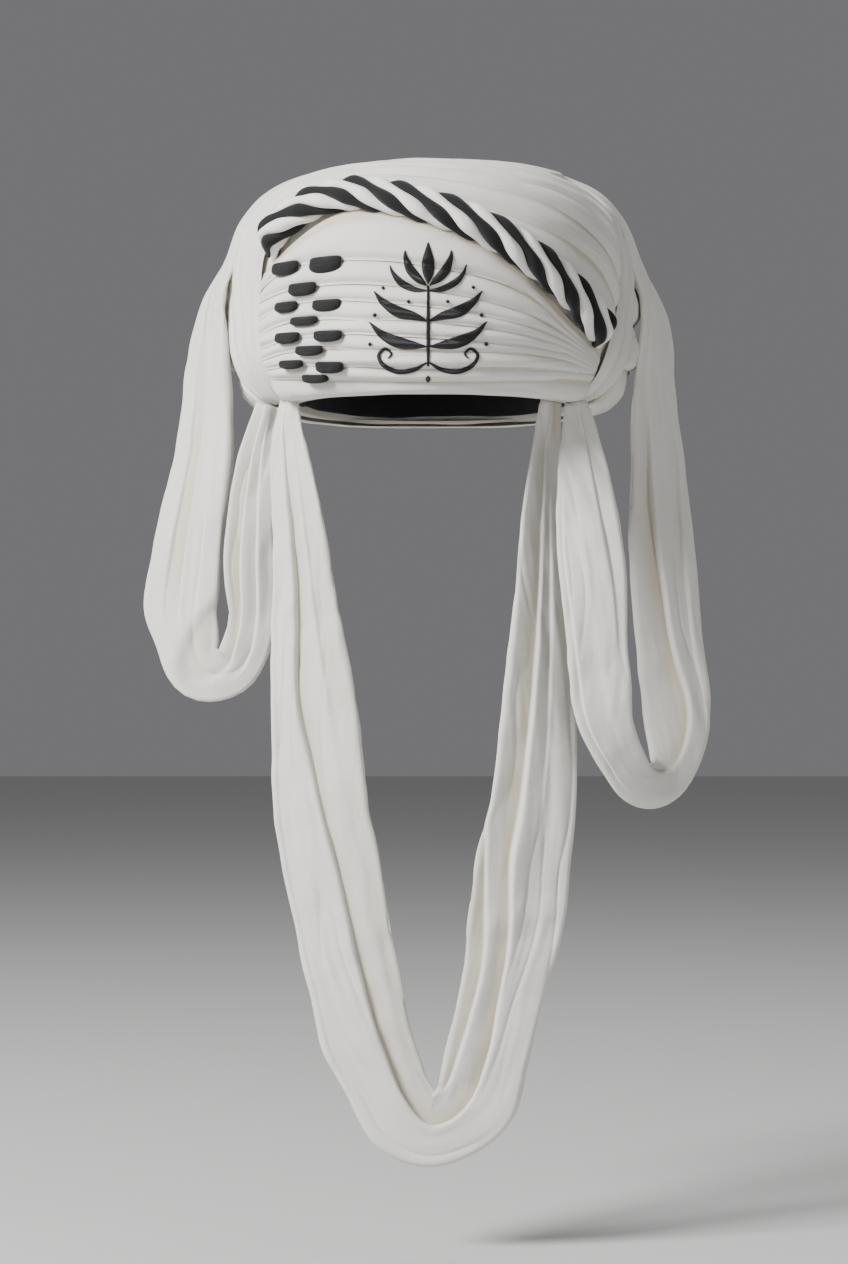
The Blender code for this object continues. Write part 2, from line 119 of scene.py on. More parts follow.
# Front pleats: each row is one pleat edge, its elevation in degrees at these azimuths
PLEAT_AZIMUTHS = (-51.5, -40, -25, -12, 0, 12, 24, 36, 50)
PLEAT_EDGES = (
    (9.6, 15.4, 22.0, 22.3, 19.0, 13.4, 5.9, -3.0, -10.2),
    (6.9, 11.0, 11.9, 11.0, 9.3, 7.2, 3.0, -4.4, -10.8),
    (4.1, 5.7, 6.2, 5.5, 3.9, 1.9, -1.1, -5.9, -11.4),
    (-0.4, 2.1, 2.4, 1.4, 0.1, -1.7, -3.9, -7.4, -12.1),
    (-4.4, -2.2, -1.9, -2.6, -3.1, -4.4, -6.3, -8.9, -12.8),
    (-8.1, -6.4, -5.7, -6.2, -6.8, -7.5, -8.6, -10.5, -13.6),
    (-11.1, -9.6, -9.3, -9.7, -9.8, -10.0, -10.8, -12.1, -14.5),
    (-13.9, -13.0, -13.3, -13.9, -14.0, -14.0, -14.1, -14.5, -15.7),
    (-16.4, -16.6, -17.1, -17.5, -17.5, -17.4, -17.2, -17.1, -17.7),
)

# Arch folds: each row is one fold edge as (azimuth, elevation) in degrees, left corner to right side
ARCH_EDGES = (
    ((-54, -23), (-52.5, -10), (-52.5, 3), (-52.5, 13), (-50.5, 20), (-46, 26.8), (-36, 31.8),
     (-20, 32.2), (-4, 29.2), (10, 25.2), (24, 21.2), (38, 17), (50, 11.3), (58.5, 4)),
    ((-59, -23.5), (-58, -10), (-59, 3), (-60, 14), (-58.5, 24), (-51, 32.5), (-38, 37.5),
     (-20, 38.8), (-4, 35.8), (17, 31), (36, 26.4), (48, 21), (56, 16.5), (61.5, 11)),
    ((-64, -24), (-65, -10), (-67, 3), (-69, 15), (-68.5, 28), (-61, 38), (-46, 44.5),
     (-22, 46.2), (2, 42), (26, 36.6), (45, 31.8), (56, 26.5), (61, 22), (63.5, 17.5)),
    ((-69, -24.5), (-72, -10), (-76, 3), (-79, 16), (-79.5, 31), (-74, 44), (-58, 52),
     (-30, 54), (0, 50), (26, 45), (47, 39.5), (60, 33), (64.5, 28), (65.8, 24)),
    ((-74, -25), (-80, -10), (-86, 3), (-90, 16), (-92.5, 32), (-92, 48), (-78, 60),
     (-40, 63.5), (0, 59), (29, 53.5), (52, 47), (65, 39), (68, 34), (68.6, 31)),
)
BRAID_SIDE_EDGES = (
    ((9, 23.4), (16, 20.6), (26, 15.4), (36, 8.8), (45, 2.2), (53.5, -4.2)),
    ((9, 25.5), (18, 22.9), (28, 20.0), (40, 16.3), (50, 11.3), (58.5, 4)),
)
RIGHT_SIDE_EDGES = (
    ((52.5, -23.5), (53, -16), (54.5, -9), (58, -2), (62, 6), (65, 14), (67.5, 23), (71, 33), (77, 43)),
    ((58, -24), (60.5, -16), (63.5, -8), (67, 0), (70, 8), (72.5, 16), (75, 25), (78.5, 35), (84, 45)),
    ((64, -24.5), (69, -15), (73, -6), (77, 3), (79.5, 11), (82, 19), (84.5, 28), (88, 38), (93, 47)),
)


# Back wraps: each row is one edge, from the right side round the back to the left side
BACK_EDGES = (
    ((68, -24), (120, -24), (180, -24), (240, -24), (284, -24)),
    ((72, -12.5), (120, -12), (180, -11), (240, -12), (278.5, -12.5)),
    ((77.5, 0.5), (120, 0), (180, 1), (240, 0), (273, 0.5)),
    ((81.8, 13), (120, 12), (180, 13), (240, 13), (268.5, 13)),
    ((85.5, 26), (120, 25), (180, 26), (240, 26), (265.5, 26)),
    ((89.5, 39), (120, 39), (180, 40), (240, 40), (264.5, 40)),
    ((94.5, 50), (120, 53), (180, 55), (240, 54), (264.5, 50)),
)
CROWN_TOP_EDGES = (
    ((-94, 51.5), (-78, 60.5), (-40, 64), (0, 59.5), (29, 54), (52, 47.5), (65, 45.2), (75, 46)),
    ((-96.5, 53), (-120, 56), (-150, 57), (-180, 57), (-215, 56.5), (-240, 55), (-258, 53), (-267, 50.5)),
)
BRAID_AXIS = (
    (-48.2, 17.0), (-45.6, 19.6), (-41.2, 22.3), (-34, 25.6), (-22, 27.2), (-9.4, 24.9), (2.3, 21.4),
    (12.6, 17.4), (24, 11.4), (34.9, 4.6), (43.2, -1.6), (49.0, -5.4),
)

# Tabs: azimuth and elevation in degrees, width and height as shares of the tab sizes, and how much
# of the pleat's rise lies under the tab
TABS = (
    (-39.5, 10.5, 1.15, 1.10, 1.00), (-26.6, 10.3, 1.12, 1.35, 0.75), (-33.3, 5.0, 1.08, 1.05, 1.00),
    (-38.8, 1.1, 0.96, 0.88, 1.00), (-26.2, 0.8, 1.00, 1.00, 0.55), (-33.0, -2.6, 1.06, 0.74, 0.75),
    (-38.6, -6.4, 1.04, 0.90, 1.00), (-25.7, -6.4, 0.98, 0.90, 0.90), (-31.6, -9.7, 1.04, 0.80, 0.90),
    (-38.5, -12.9, 0.98, 0.72, 1.00), (-26.3, -13.9, 0.95, 0.95, 0.90), (-31.8, -16.8, 0.95, 0.72, 0.90),
)

# Ties: each row is one section, with x and y as shares of the crown's half width and half depth,
# z of the crown's height above the rim and of the tie's drop below it, then the half width and the
# fold depth as shares, and the turn about the run in degrees
LEFT_TAIL = (
    (-1.131, 0.009, 0.472, 0.95, 0.50, 76),
    (-1.162, -0.022, 0.212, 0.85, 0.65, 62),
    (-1.162, -0.051, -0.040, 0.78, 0.90, 48),
    (-1.188, -0.109, -0.300, 0.78, 1.00, 36),
    (-1.244, -0.175, -0.600, 0.80, 1.00, 24),
    (-1.256, -0.219, -0.830, 0.72, 1.00, 14),
    (-1.168, -0.245, -0.995, 0.62, 0.90, 4),
    (-1.005, -0.263, -1.000, 0.58, 0.90, 0),
    (-0.923, -0.280, -0.830, 0.52, 0.90, 0),
    (-0.923, -0.299, -0.600, 0.52, 0.90, 0),
    (-0.911, -0.314, -0.400, 0.44, 0.80, 0),
    (-0.880, -0.333, -0.200, 0.34, 0.60, 0),
    (-0.829, -0.342, -0.030, 0.22, 0.35, 0),
)
RIGHT_TAIL = (
    (1.131, 0.018, 0.458, 0.95, 0.50, -76),
    (1.150, 0.035, 0.131, 0.85, 0.65, -62),
    (1.150, 0.035, -0.120, 0.80, 0.90, -48),
    (1.162, 0.009, -0.350, 0.80, 1.00, -36),
    (1.194, -0.035, -0.600, 0.80, 1.00, -24),
    (1.238, -0.088, -0.840, 0.66, 1.00, -14),
    (1.200, -0.197, -1.010, 0.52, 0.90, -6),
    (1.017, -0.350, -1.030, 0.50, 0.90, 0),
    (0.872, -0.473, -0.900, 0.50, 0.90, 0),
    (0.829, -0.534, -0.740, 0.60, 0.95, 0),
    (0.803, -0.561, -0.560, 0.68, 1.00, 0),
    (0.769, -0.569, -0.390, 0.68, 1.00, 0),
    (0.744, -0.561, -0.230, 0.56, 0.80, 0),
    (0.729, -0.526, -0.110, 0.36, 0.50, 0),
    (0.714, -0.482, -0.018, 0.21, 0.30, 0),
)
FRONT_LOOP = (
    (-0.718, -0.429, -0.005, 0.26, 0.25, 45),
    (-0.725, -0.438, -0.060, 0.45, 0.50, 42),
    (-0.690, -0.445, -0.140, 0.62, 0.75, 40),
    (-0.655, -0.449, -0.225, 0.72, 1.00, 36),
    (-0.615, -0.453, -0.372, 0.92, 1.00, 28),
    (-0.579, -0.456, -0.482, 0.97, 1.00, 24),
    (-0.552, -0.460, -0.564, 0.96, 1.00, 20),
    (-0.500, -0.464, -0.638, 0.97, 1.00, 16),
    (-0.452, -0.467, -0.731, 0.96, 1.00, 12),
    (-0.390, -0.471, -0.788, 0.94, 1.00, 8),
    (-0.308, -0.474, -0.867, 0.90, 1.00, 4),
    (-0.197, -0.474, -0.936, 0.87, 1.00, 0),
    (-0.017, -0.478, -0.979, 0.88, 1.00, 0),
    (0.171, -0.474, -0.952, 0.86, 1.00, 0),
    (0.274, -0.471, -0.883, 0.88, 1.00, 4),
    (0.329, -0.467, -0.814, 0.91, 1.00, 8),
    (0.399, -0.460, -0.718, 0.95, 1.00, 12),
    (0.449, -0.449, -0.631, 0.93, 1.00, 16),
    (0.494, -0.438, -0.567, 0.91, 1.00, 20),
    (0.517, -0.431, -0.475, 0.88, 1.00, 24),
    (0.538, -0.416, -0.356, 0.76, 1.00, 30),
    (0.545, -0.409, -0.273, 0.64, 0.90, 33),
    (0.554, -0.405, -0.115, 0.46, 0.55, 40),
    (0.571, -0.412, -0.047, 0.34, 0.38, 44),
    (0.590, -0.431, -0.005, 0.26, 0.25, 45),
)

# Elevations in degrees where the cloth over the crown's top is laid, before it hangs free
TAIL_SHOULDER = (62, 50, 40, 31, 22)
DRAPE_SHOULDER = (62.15, 75, 90, 105, 117.85)
SHOULDER_WIDTH_SHARE = 1.05
SHOULDER_FOLD_SHARE = 0.18

# Cloth surfaces: the strips' columns and rows, how full a fold is, and how its edges and ends are made
CROWN_MIDDLE = np.array((0.0, 0.0, CROWN_WIDEST_HEIGHT))
NOISE_CELLS = 64
COLUMN_LENGTH = 0.0015
LEAST_COLUMNS = 30
ROW_WIDTH = 0.0010
SECTION_ROWS = (18, 60)
UNDER_ROWS = 8
EDGE_TURNS = (55, 20, -20, -55)
ROW_CROWDING = 1.25
LEAST_FOLD_WIDTH = 0.0008
FULL_FOLD_WIDTH = 0.007
LEAST_PINCH = 0.25
FOLD_LIP = 0.0004
FLAT_RISE = 0.0015
FLAT_WALL = 0.0012
FOLD_TUCK = 0.0040
ROUNDED_SHARE = 0.78
ROUNDED_WIDTH = 0.0040
# Share across a fold where the painted shade towards its tucked edge begins
PAINTED_SHADE_START = 0.62
FOLD_WRINKLE = (0.030, 0.0062)
FULL_SWELL_WIDTH = 0.012
MOST_SWELL = 1.6
WANDER_LENGTH = 0.021
FULL_WANDER_WIDTH = 0.010
END_REACH = 0.0035
END_RUN = 0.008
END_SINK = 0.46
BACK_END_RUN = 0.014
BACK_END_SINK = 0.22
PLEAT_REACH = 0.0055
PLEAT_SEED = 100
ARCH_SEED = 300
BRAID_SIDE_SEED = 400
RIGHT_SIDE_SEED = 420
BACK_SEED = 500
CROWN_TOP_SEED = 600
SEED_STEP = 10
CROWN_TOP_TUCK = 0.002

# Core and lining: rings from one pole over the rim to the other
CORE_SIDES = 240
POLE = 89.6
CORE_SHRINK = -0.0004
CORE_TOP_RINGS = 40
CORE_SIDE_SHARES = (0.3, 0.6, 0.85)
CORE_INNER_RINGS = 46
CORE_HEM_WAVE = 0.0004
CORE_HEM_HEIGHT = 0.012
CORE_HEM_FADE = 0.006
CORE_GIRTH = 0.66
# How much painted shade the whole core takes
CORE_PAINTED_SHADE = 0.25
RIM_RINGS = 25
RIM_DROP = 0.0019
RIM_TURN_HEIGHT = 0.0001
RIM_TURNS = 3
RIM_WAVE = 0.0007
LINING_RINGS = 44
LINING_OUTSIDE = 0.0016
LINING_HEM = ((0.0014, 0.0002), (0.0009, -0.0001), (0.0003, 0.0001))
LINING_HEM_WAVE = 0.0009
LINING_HEM_OUTSIDE = 0.0006
LINING_HEM_INSIDE = 0.0008
LINING_PUCKER = 0.0004
LINING_GIRTH = 0.58

# Strands of the braid, which narrow, flatten and sink at both ends
BRAID_REACH = 0.004
BRAID_END_RUN = 0.012
BRAID_SINK = 0.0075
BRAID_LIFT = BRAID_HALF_HEIGHT - 0.001
STRAND_WIDE = BRAID_HALF_WIDTH - 0.0030
STRAND_TALL = BRAID_HALF_HEIGHT - 0.0031
STRAND_STATIONS = 300
STRAND_SIDES = 26
STRAND_GIRTH_RADIUS = 0.0035
END_NARROW = 0.25
END_FLAT = 0.55
END_THIN = 0.45
STRAND_SQUEEZE = 0.15
STRAND_PULL = 0.05
STRAND_FLAT = 0.90

# Tabs: layers as shares of the outline and of the thickness, and how square the corners are above and below
TAB_LAYERS = (
    (1.0, -0.02), (1.04, 0.22), (1.02, 0.42), (0.94, 0.66), (0.78, 0.85), (0.52, 0.96),
    (0.24, 1.0), (0.02, 1.0),
)
TAB_SIDES = 64
TAB_CORNERS = (0.30, 0.85)
TAB_FLOOR_SHARE = 0.02
TAB_RIPPLE = 0.06
TAB_SLOPE = 0.35

# Cloths: roughness, sheen, yarns a metre, bump height, how far the painted shade in the valleys takes the
# deep shade colour, and slub
CLOTHS = {
    "white_cotton_muslin": (0.90, 0.15, 1700.0, 0.00016, 0.85, 1.0),
    "white_braid_yarn": (0.88, 0.20, 900.0, 0.00012, 0.75, 0.9),
    "black_cotton": (0.82, 0.10, 1300.0, 0.00010, 0.5, 0.8),
    "black_satin_thread": (0.46, 0.05, 700.0, 0.00005, 0.2, 0.3),
}
# Painted shade colours that the black cloth and the thread take in their marked valleys
BLACK_PAINTED_SHADE = (0.004, 0.004, 0.004)
THREAD_PAINTED_SHADE = (0.003, 0.003, 0.003)
THREADS_PER_METRE = 2200
YARN_STRETCHES = ((26, 620, 1), (620, 26, 1))
YARN_TONE = 0.12
NODE_GRID = (220, 180, 5)


def size(name, description, default, most, least=0.0):
    """A length that can be set in the panel."""
    return FloatProperty(name=name, description=description, default=default, min=least, max=most,
                         unit="LENGTH", precision=5)


def power(name, description, default):
    return FloatProperty(name=name, description=description, default=default, min=0.0, max=500.0,
                         unit="POWER")


def colour(name, description, default):
    return FloatVectorProperty(name=name, description=description, default=default, size=3, min=0.0, max=1.0,
                               subtype="COLOR")


class FoldSettings(PropertyGroup):
    """How the cloth on the crown is folded"""

    puff: size("Puff", "How far a fold's middle swells", 0.0019, 0.003)
    wander: size("Edge wander", "How far a fold's edge strays from its line", 0.0009, 0.002)
    wrinkle: size("Wrinkle", "Height of the small wrinkles", 0.0007, 0.002)
    rib: size("Rib", "Height of the fine ribs on the side folds", 0.0008, 0.002)
    rib_spacing: size("Rib spacing", "Distance between the fine ribs", 0.0034, 0.02, 0.001)


class TieSettings(PropertyGroup):
    """How the hanging ties are folded"""

    wall: size("Cloth wall", "Thickness of the cloth", 0.0011, 0.003, 0.0005)
    depth: size("Half depth", "Half the thickness of the folded tie", 0.0025, 0.008, 0.001)
    fold: size("Fold height", "Height of the lengthwise folds", 0.0046, 0.008)
    wrinkle: size("Wrinkle", "Height of the small wrinkles", 0.0011, 0.003)


class TrimSettings(PropertyGroup):
    """Sizes of the braid, the tabs, the embroidery and the stitches"""

    strand: size("Strand radius", "Radius of a braid strand at its fullest", 0.0039, 0.006, 0.001)
    tab: size("Tab thickness", "Thickness of a black tab at its middle", 0.0042, 0.006, 0.001)
    satin: size("Satin height", "How far the embroidery stands off the cloth", 0.0008, 0.002, 0.0002)
    stitch: size("Stitch length", "Length of a hem stitch", 0.0024, 0.006, 0.001)
    stitch_spacing: size("Stitch spacing", "Distance from one hem stitch to the next", 0.0042, 0.02, 0.001)


class ColourSettings(PropertyGroup):
    """Colours of the cloth and the thread"""

    cotton: colour("Cotton", "The white cotton in the light", (0.82, 0.81, 0.785))
    # Painted shade: this cream stands in for the shade deep in the folds
    fold_shade_cream: colour("Painted fold shade", "The cotton deep in its folds", (0.66, 0.60, 0.49))
    black: colour("Black cloth", "The lining, tabs and dark strands", (0.010, 0.010, 0.011))
    thread: colour("Thread", "The embroidery thread", (0.008, 0.008, 0.009))


class StageSettings(PropertyGroup):
    """Light and floor"""

    key: power("Key light", "Power of the main soft light", 138.0)
    fill: power("Fill light", "Power of the weak soft light", 11.0)
    floor: colour("Floor", "Colour of the floor", (0.60, 0.60, 0.59))


def unit(vectors):
    return vectors / np.maximum(np.linalg.norm(vectors, axis=-1, keepdims=True), 1e-12)


def smooth_step(values):
    held = np.clip(values, 0.0, 1.0)
    return held * held * (3 - 2 * held)


def smooth_run(rows, places):
    """Values on a smooth curve through the rows, at places from 0 to 1 along it."""
    rows = np.asarray(rows, dtype=float)
    rows = np.vstack([2 * rows[0] - rows[1], rows, 2 * rows[-1] - rows[-2]])
    spans = len(rows) - 3
    place = np.clip(places, 0.0, 1.0) * spans
    span = np.minimum(place.astype(int), spans - 1)
    t = (place - span)[:, None]
    a, b, c, d = (rows[span + step] for step in range(4))
    bend = (2 * a - 5 * b + 4 * c - d) * t ** 2 + (3 * b - a - 3 * c + d) * t ** 3
    return (2 * b + (c - a) * t + bend) / 2


def soft_noise(u, v, seed):
    """Smooth noise from -1 to 1, with one cell to each unit of u and v."""
    table = np.random.default_rng(seed).uniform(-1.0, 1.0, (NOISE_CELLS, NOISE_CELLS))
    cell_u, cell_v = np.floor(u).astype(int), np.floor(v).astype(int)
    part_u, part_v = smooth_step(u - cell_u), smooth_step(v - cell_v)

    def corner(du, dv):
        return table[(cell_u + du) % NOISE_CELLS, (cell_v + dv) % NOISE_CELLS]

    low = corner(0, 0) * (1 - part_u) + corner(1, 0) * part_u
    high = corner(0, 1) * (1 - part_u) + corner(1, 1) * part_u
    return low * (1 - part_v) + high * part_v


def wrinkles(along, across, long, short, seed):
    """Creases that run mostly along the cloth: soft humps with narrower valleys."""
    lean = 0.35 * soft_noise(along / long, across / (4 * short), seed + 1)
    soft = soft_noise(along / long, across / short + lean, seed)
    sharp = soft_noise(along / (1.7 * long), across / (1.3 * short) - lean, seed + 2)
    fine = soft_noise(along / (0.35 * long), across / (0.45 * short), seed + 3)
    return 0.6 * soft - 0.8 * (1 - np.abs(sharp)) ** 5 + 0.25 * fine


def heading(azimuth):
    """The level direction at an azimuth in degrees, with 0 at the front and 90 at +X."""
    angle = np.radians(azimuth)
    return np.stack([np.sin(angle), -np.cos(angle), np.zeros_like(angle)], axis=-1)


def direction(azimuth, elevation):
    azimuth, elevation = np.broadcast_arrays(np.asarray(azimuth, float), np.asarray(elevation, float))
    angle = np.radians(elevation)
    up = np.array((0.0, 0.0, 1.0))
    return heading(azimuth) * np.cos(angle)[..., None] + up * np.sin(angle)[..., None]


def crown_point(ways, lift=0.0):
    """Points of the crown's form along directions from its middle, raised by a lift."""
    lift = np.asarray(lift, dtype=float)
    wide = np.hypot(ways[..., 0] / (CROWN_HALF_WIDTH + lift), ways[..., 1] / (CROWN_HALF_DEPTH + lift))
    reach = np.where(ways[..., 2] > 0, CROWN_TOP - CROWN_WIDEST_HEIGHT, CROWN_TUCK)
    tall = np.abs(ways[..., 2]) / (reach + lift)
    size = (wide ** CROWN_POWER + tall ** CROWN_POWER) ** (-1 / CROWN_POWER)
    return CROWN_MIDDLE + ways * size[..., None]


def dome_share(height, widest, top, tuck, power):
    """How wide a rounded form is at a height, as a share of its widest."""
    reach = np.where(height > widest, top - widest, tuck)
    share = np.minimum(np.abs(height - widest) / reach, 1.0)
    return (1 - share ** power) ** (1 / power)


def rim_height(azimuth):
    return -BACK_RIM_DROP * (1 - np.cos(np.radians(azimuth))) / 2


def rim_direction(azimuth):
    """Directions from the crown's middle to its rim."""
    level, height = heading(azimuth), rim_height(azimuth)
    share = dome_share(height, CROWN_WIDEST_HEIGHT, CROWN_TOP, CROWN_TUCK, CROWN_POWER)
    size = share / np.hypot(level[..., 0] / CROWN_HALF_WIDTH, level[..., 1] / CROWN_HALF_DEPTH)
    way = level * size[..., None]
    way[..., 2] = height - CROWN_WIDEST_HEIGHT
    return unit(way)


def head_point(azimuth, height, offset):
    """Points of the head opening's form at a height, grown by an offset."""
    share = dome_share(height, HEAD_WIDEST_HEIGHT, HEAD_TOP + offset, HEAD_TUCK, HEAD_POWER)
    level = heading(azimuth)
    wide = np.hypot(level[..., 0] / (HEAD_HALF_WIDTH + offset), level[..., 1] / (HEAD_HALF_DEPTH + offset))
    found = level * (share / wide)[..., None]
    found[..., 2] = height
    return found


def run_lengths(points):
    """The length run so far at each point of a line."""
    steps = np.linalg.norm(np.diff(points, axis=0), axis=-1)
    return np.concatenate([[0.0], np.cumsum(steps)])


def add_object(name, data):
    made = bpy.data.objects.new(name, data)
    bpy.context.scene.collection.objects.link(made)
    return made


def signed_volume(points, quads):
    a, b, c, d = (points[quads[:, corner]] for corner in range(4))
    return (np.einsum("ij,ij->i", a, np.cross(b, c)) + np.einsum("ij,ij->i", a, np.cross(c, d))).sum()


def woven_grid(name, points, along, across, painted_shade, closed=False, capped=False):
    """A mesh through a grid of points, with its cloth coordinates in metres and its painted shade marked
    where the valleys are.
    """
    rings, width = points.shape[:2]
    columns = width if closed else width - 1
    ring, column = np.meshgrid(np.arange(rings - 1), np.arange(columns), indexing="ij")
    after = (column + 1) % width
    quads = np.stack([ring * width + column, ring * width + after,
                      (ring + 1) * width + after, (ring + 1) * width + column], axis=-1)
    places = np.stack([np.stack([along[ring + i, column + j], across[ring + i, column + j]], axis=-1)
                       for i, j in ((0, 0), (0, 1), (1, 1), (1, 0))], axis=-2)
    quads, places = quads.reshape(-1, 4), places.reshape(-1, 4, 2)
    flat = points.reshape(-1, 3)
    caps = []
    if capped:
        caps = [list(range(width))[::-1], [(rings - 1) * width + k for k in range(width)]]
    if closed and signed_volume(flat, quads) < 0:
        quads, places = quads[:, ::-1], places[:, ::-1]
        caps = [cap[::-1] for cap in caps]
    data = bpy.data.meshes.new(name)
    data.from_pydata(flat.tolist(), [], quads.tolist() + caps)
    cap_places = [np.stack([along.reshape(-1)[:len(cap)], across.reshape(-1)[:len(cap)]], axis=-1)
                  for cap in caps]
    uvs = np.concatenate([places.reshape(-1, 2), *cap_places])
    data.uv_layers.new(name="cloth").data.foreach_set("uv", uvs.astype(np.float32).ravel())
    # Painted shade: how far each point takes the deep shade colour
    marked = data.attributes.new("painted_shade", "FLOAT", "POINT").data
    marked.foreach_set("value", painted_shade.astype(np.float32).ravel())
    data.shade_smooth()
    data.update()
    return add_object(name, data)


def finish_piece(thing, material, slot, *nodes):
    """Gives a finished piece its material and its body, and hides the CAD nodes that it stands for."""
    thing.data.materials.clear()
    thing.data.materials.append(material)
    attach(thing, "root")
    if nodes:
        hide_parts(*nodes)


def feed(socket, value):
    """Sets a socket to a value, or links it to the socket that gives it."""
    if isinstance(value, bpy.types.NodeSocket):
        socket.id_data.links.new(value, socket)
    else:
        socket.default_value = value


def add_node(tree, kind, inputs=None, **settings):
    """A node with its settings and its inputs, laid out in columns as the tree grows."""
    made = tree.nodes.new(kind)
    wide, tall, rows = NODE_GRID
    column, row = divmod(len(tree.nodes), rows)
    made.location = (column * wide, -row * tall)
    for key, value in settings.items():
        setattr(made, key, value)
    for label, value in (inputs or {}).items():
        feed(made.inputs[label], value)
    return made


def maths(tree, operation, *values):
    return add_node(tree, "ShaderNodeMath", dict(enumerate(values)), operation=operation).outputs[0]


def mixed_colour(tree, share, first, second):
    return add_node(tree, "ShaderNodeMix", {0: share, 6: first, 7: second}, data_type="RGBA").outputs[2]


def new_group(name, kind, inputs, outputs):
    """A node group with its sockets, each (label, kind, default), and its inner ends."""
    tree = bpy.data.node_groups.new(name, kind)
    for in_out, sockets in (("INPUT", inputs), ("OUTPUT", outputs)):
        for label, socket, default in sockets:
            made = tree.interface.new_socket(name=label, in_out=in_out, socket_type=f"NodeSocket{socket}")
            if default is not None:
                made.default_value = default
    return tree, add_node(tree, "NodeGroupInput").outputs, add_node(tree, "NodeGroupOutput").inputs


def stretched_noise(tree, vector, stretch):
    turn = add_node(tree, "ShaderNodeMapping", {"Vector": vector, "Scale": stretch})
    return add_node(tree, "ShaderNodeTexNoise",
                    {"Vector": turn.outputs["Vector"], "Scale": 1.0, "Detail": 2.0}).outputs["Fac"]


def weave_group():
    """A plain weave with thicker yarns here and there: its height and how tight it is."""
    found = bpy.data.node_groups.get("plain_weave")
    if found:
        return found
    tree, given, result = new_group(
        "plain_weave", "ShaderNodeTree",
        (("Cloth", "Vector", None), ("Yarns", "Float", 1800.0), ("Slub", "Float", 0.5)),
        (("Height", "Float", None), ("Tone", "Float", None)))
    axes = add_node(tree, "ShaderNodeSeparateXYZ", {0: given["Cloth"]}).outputs
    around = maths(tree, "MULTIPLY", given["Yarns"], math.tau)
    warp, weft = (maths(tree, "SINE", maths(tree, "MULTIPLY", axes[axis], around)) for axis in "XY")
    cross = maths(tree, "MULTIPLY", warp, weft)
    yarns = [stretched_noise(tree, given["Cloth"], stretch) for stretch in YARN_STRETCHES]
    slub = maths(tree, "MULTIPLY", maths(tree, "ADD", *yarns), given["Slub"])
    feed(result["Height"], maths(tree, "MULTIPLY_ADD", cross, 0.5, slub))
    feed(result["Tone"], slub)
    return tree


def tone_group():
    """Cloth colour: the light cloth colour with painted shade that deepens it in the marked valleys, and
    faint uneven patches.
    """
    found = bpy.data.node_groups.get("cloth_tone_and_painted_shade")
    if found:
        return found
    tree, given, result = new_group(
        "cloth_tone_and_painted_shade", "ShaderNodeTree",
        (("Place", "Vector", None), ("Light", "Color", None), ("Shade colour", "Color", None),
         ("Painted shade", "Float", 0.0), ("Tone", "Float", 0.5), ("Patches", "Float", 0.15)),
        (("Color", "Color", None),))
    patch = add_node(tree, "ShaderNodeTexNoise", {"Vector": given["Place"], "Scale": 14.0, "Detail": 3.0})
    spots = maths(tree, "MULTIPLY", patch.outputs["Fac"], given["Patches"])
    yarn = maths(tree, "MULTIPLY", given["Tone"], YARN_TONE)
    amount = maths(tree, "ADD", maths(tree, "ADD", spots, yarn), given["Painted shade"])
    held = add_node(tree, "ShaderNodeClamp", {"Value": amount}).outputs[0]
    feed(result["Color"], mixed_colour(tree, held, given["Light"], given["Shade colour"]))
    return tree


def new_material(name, **values):
    """A node material with its shader's plain values set: material, tree and the shader's inputs."""
    material = bpy.data.materials.new(name)
    material.use_nodes = True
    shader = material.node_tree.nodes["Principled BSDF"].inputs
    for label, value in values.items():
        shader[label.replace("_", " ")].default_value = value
    return material, material.node_tree, shader


def cloth_material(name, light, deep):
    """Woven cloth that reads its own cloth coordinates and its painted shade, marked in the valleys."""
    found = bpy.data.materials.get(name)
    if found:
        return found
    roughness, sheen, yarns, bump, painted_shade_share, slub = CLOTHS[name]
    material, tree, shader = new_material(
        name, Sheen_Weight=sheen, Sheen_Roughness=0.5, Specular_IOR_Level=0.25)
    cloth = add_node(tree, "ShaderNodeUVMap", uv_map="cloth").outputs["UV"]
    place = add_node(tree, "ShaderNodeTexCoord").outputs["Object"]
    painted_shade = add_node(tree, "ShaderNodeAttribute", attribute_name="painted_shade").outputs["Fac"]
    weave = add_node(tree, "ShaderNodeGroup", node_tree=weave_group())
    for label, value in (("Cloth", cloth), ("Yarns", yarns), ("Slub", slub)):
        feed(weave.inputs[label], value)
    height, tightness = weave.outputs["Height"], weave.outputs["Tone"]
    tone = add_node(tree, "ShaderNodeGroup", node_tree=tone_group())
    for label, value in (("Place", place), ("Light", (*light, 1.0)), ("Shade colour", (*deep, 1.0)),
                         ("Tone", tightness), ("Painted shade", maths(tree, "MULTIPLY", painted_shade, painted_shade_share))):
        feed(tone.inputs[label], value)
    feed(shader["Base Color"], tone.outputs["Color"])
    rough = maths(tree, "MULTIPLY", tightness, YARN_TONE)
    feed(shader["Roughness"], maths(tree, "ADD", rough, roughness - YARN_TONE / 2))
    raised = add_node(tree, "ShaderNodeBump", {"Strength": 1.0, "Distance": bump, "Height": height})
    feed(shader["Normal"], raised.outputs["Normal"])
    return material


def colours():
    return bpy.context.scene.turban_colours


def white_cotton():
    return cloth_material("white_cotton_muslin", colours().cotton, colours().fold_shade_cream)


def white_yarn():
    return cloth_material("white_braid_yarn", colours().cotton, colours().fold_shade_cream)


def black_cotton():
    return cloth_material("black_cotton", colours().black, BLACK_PAINTED_SHADE)


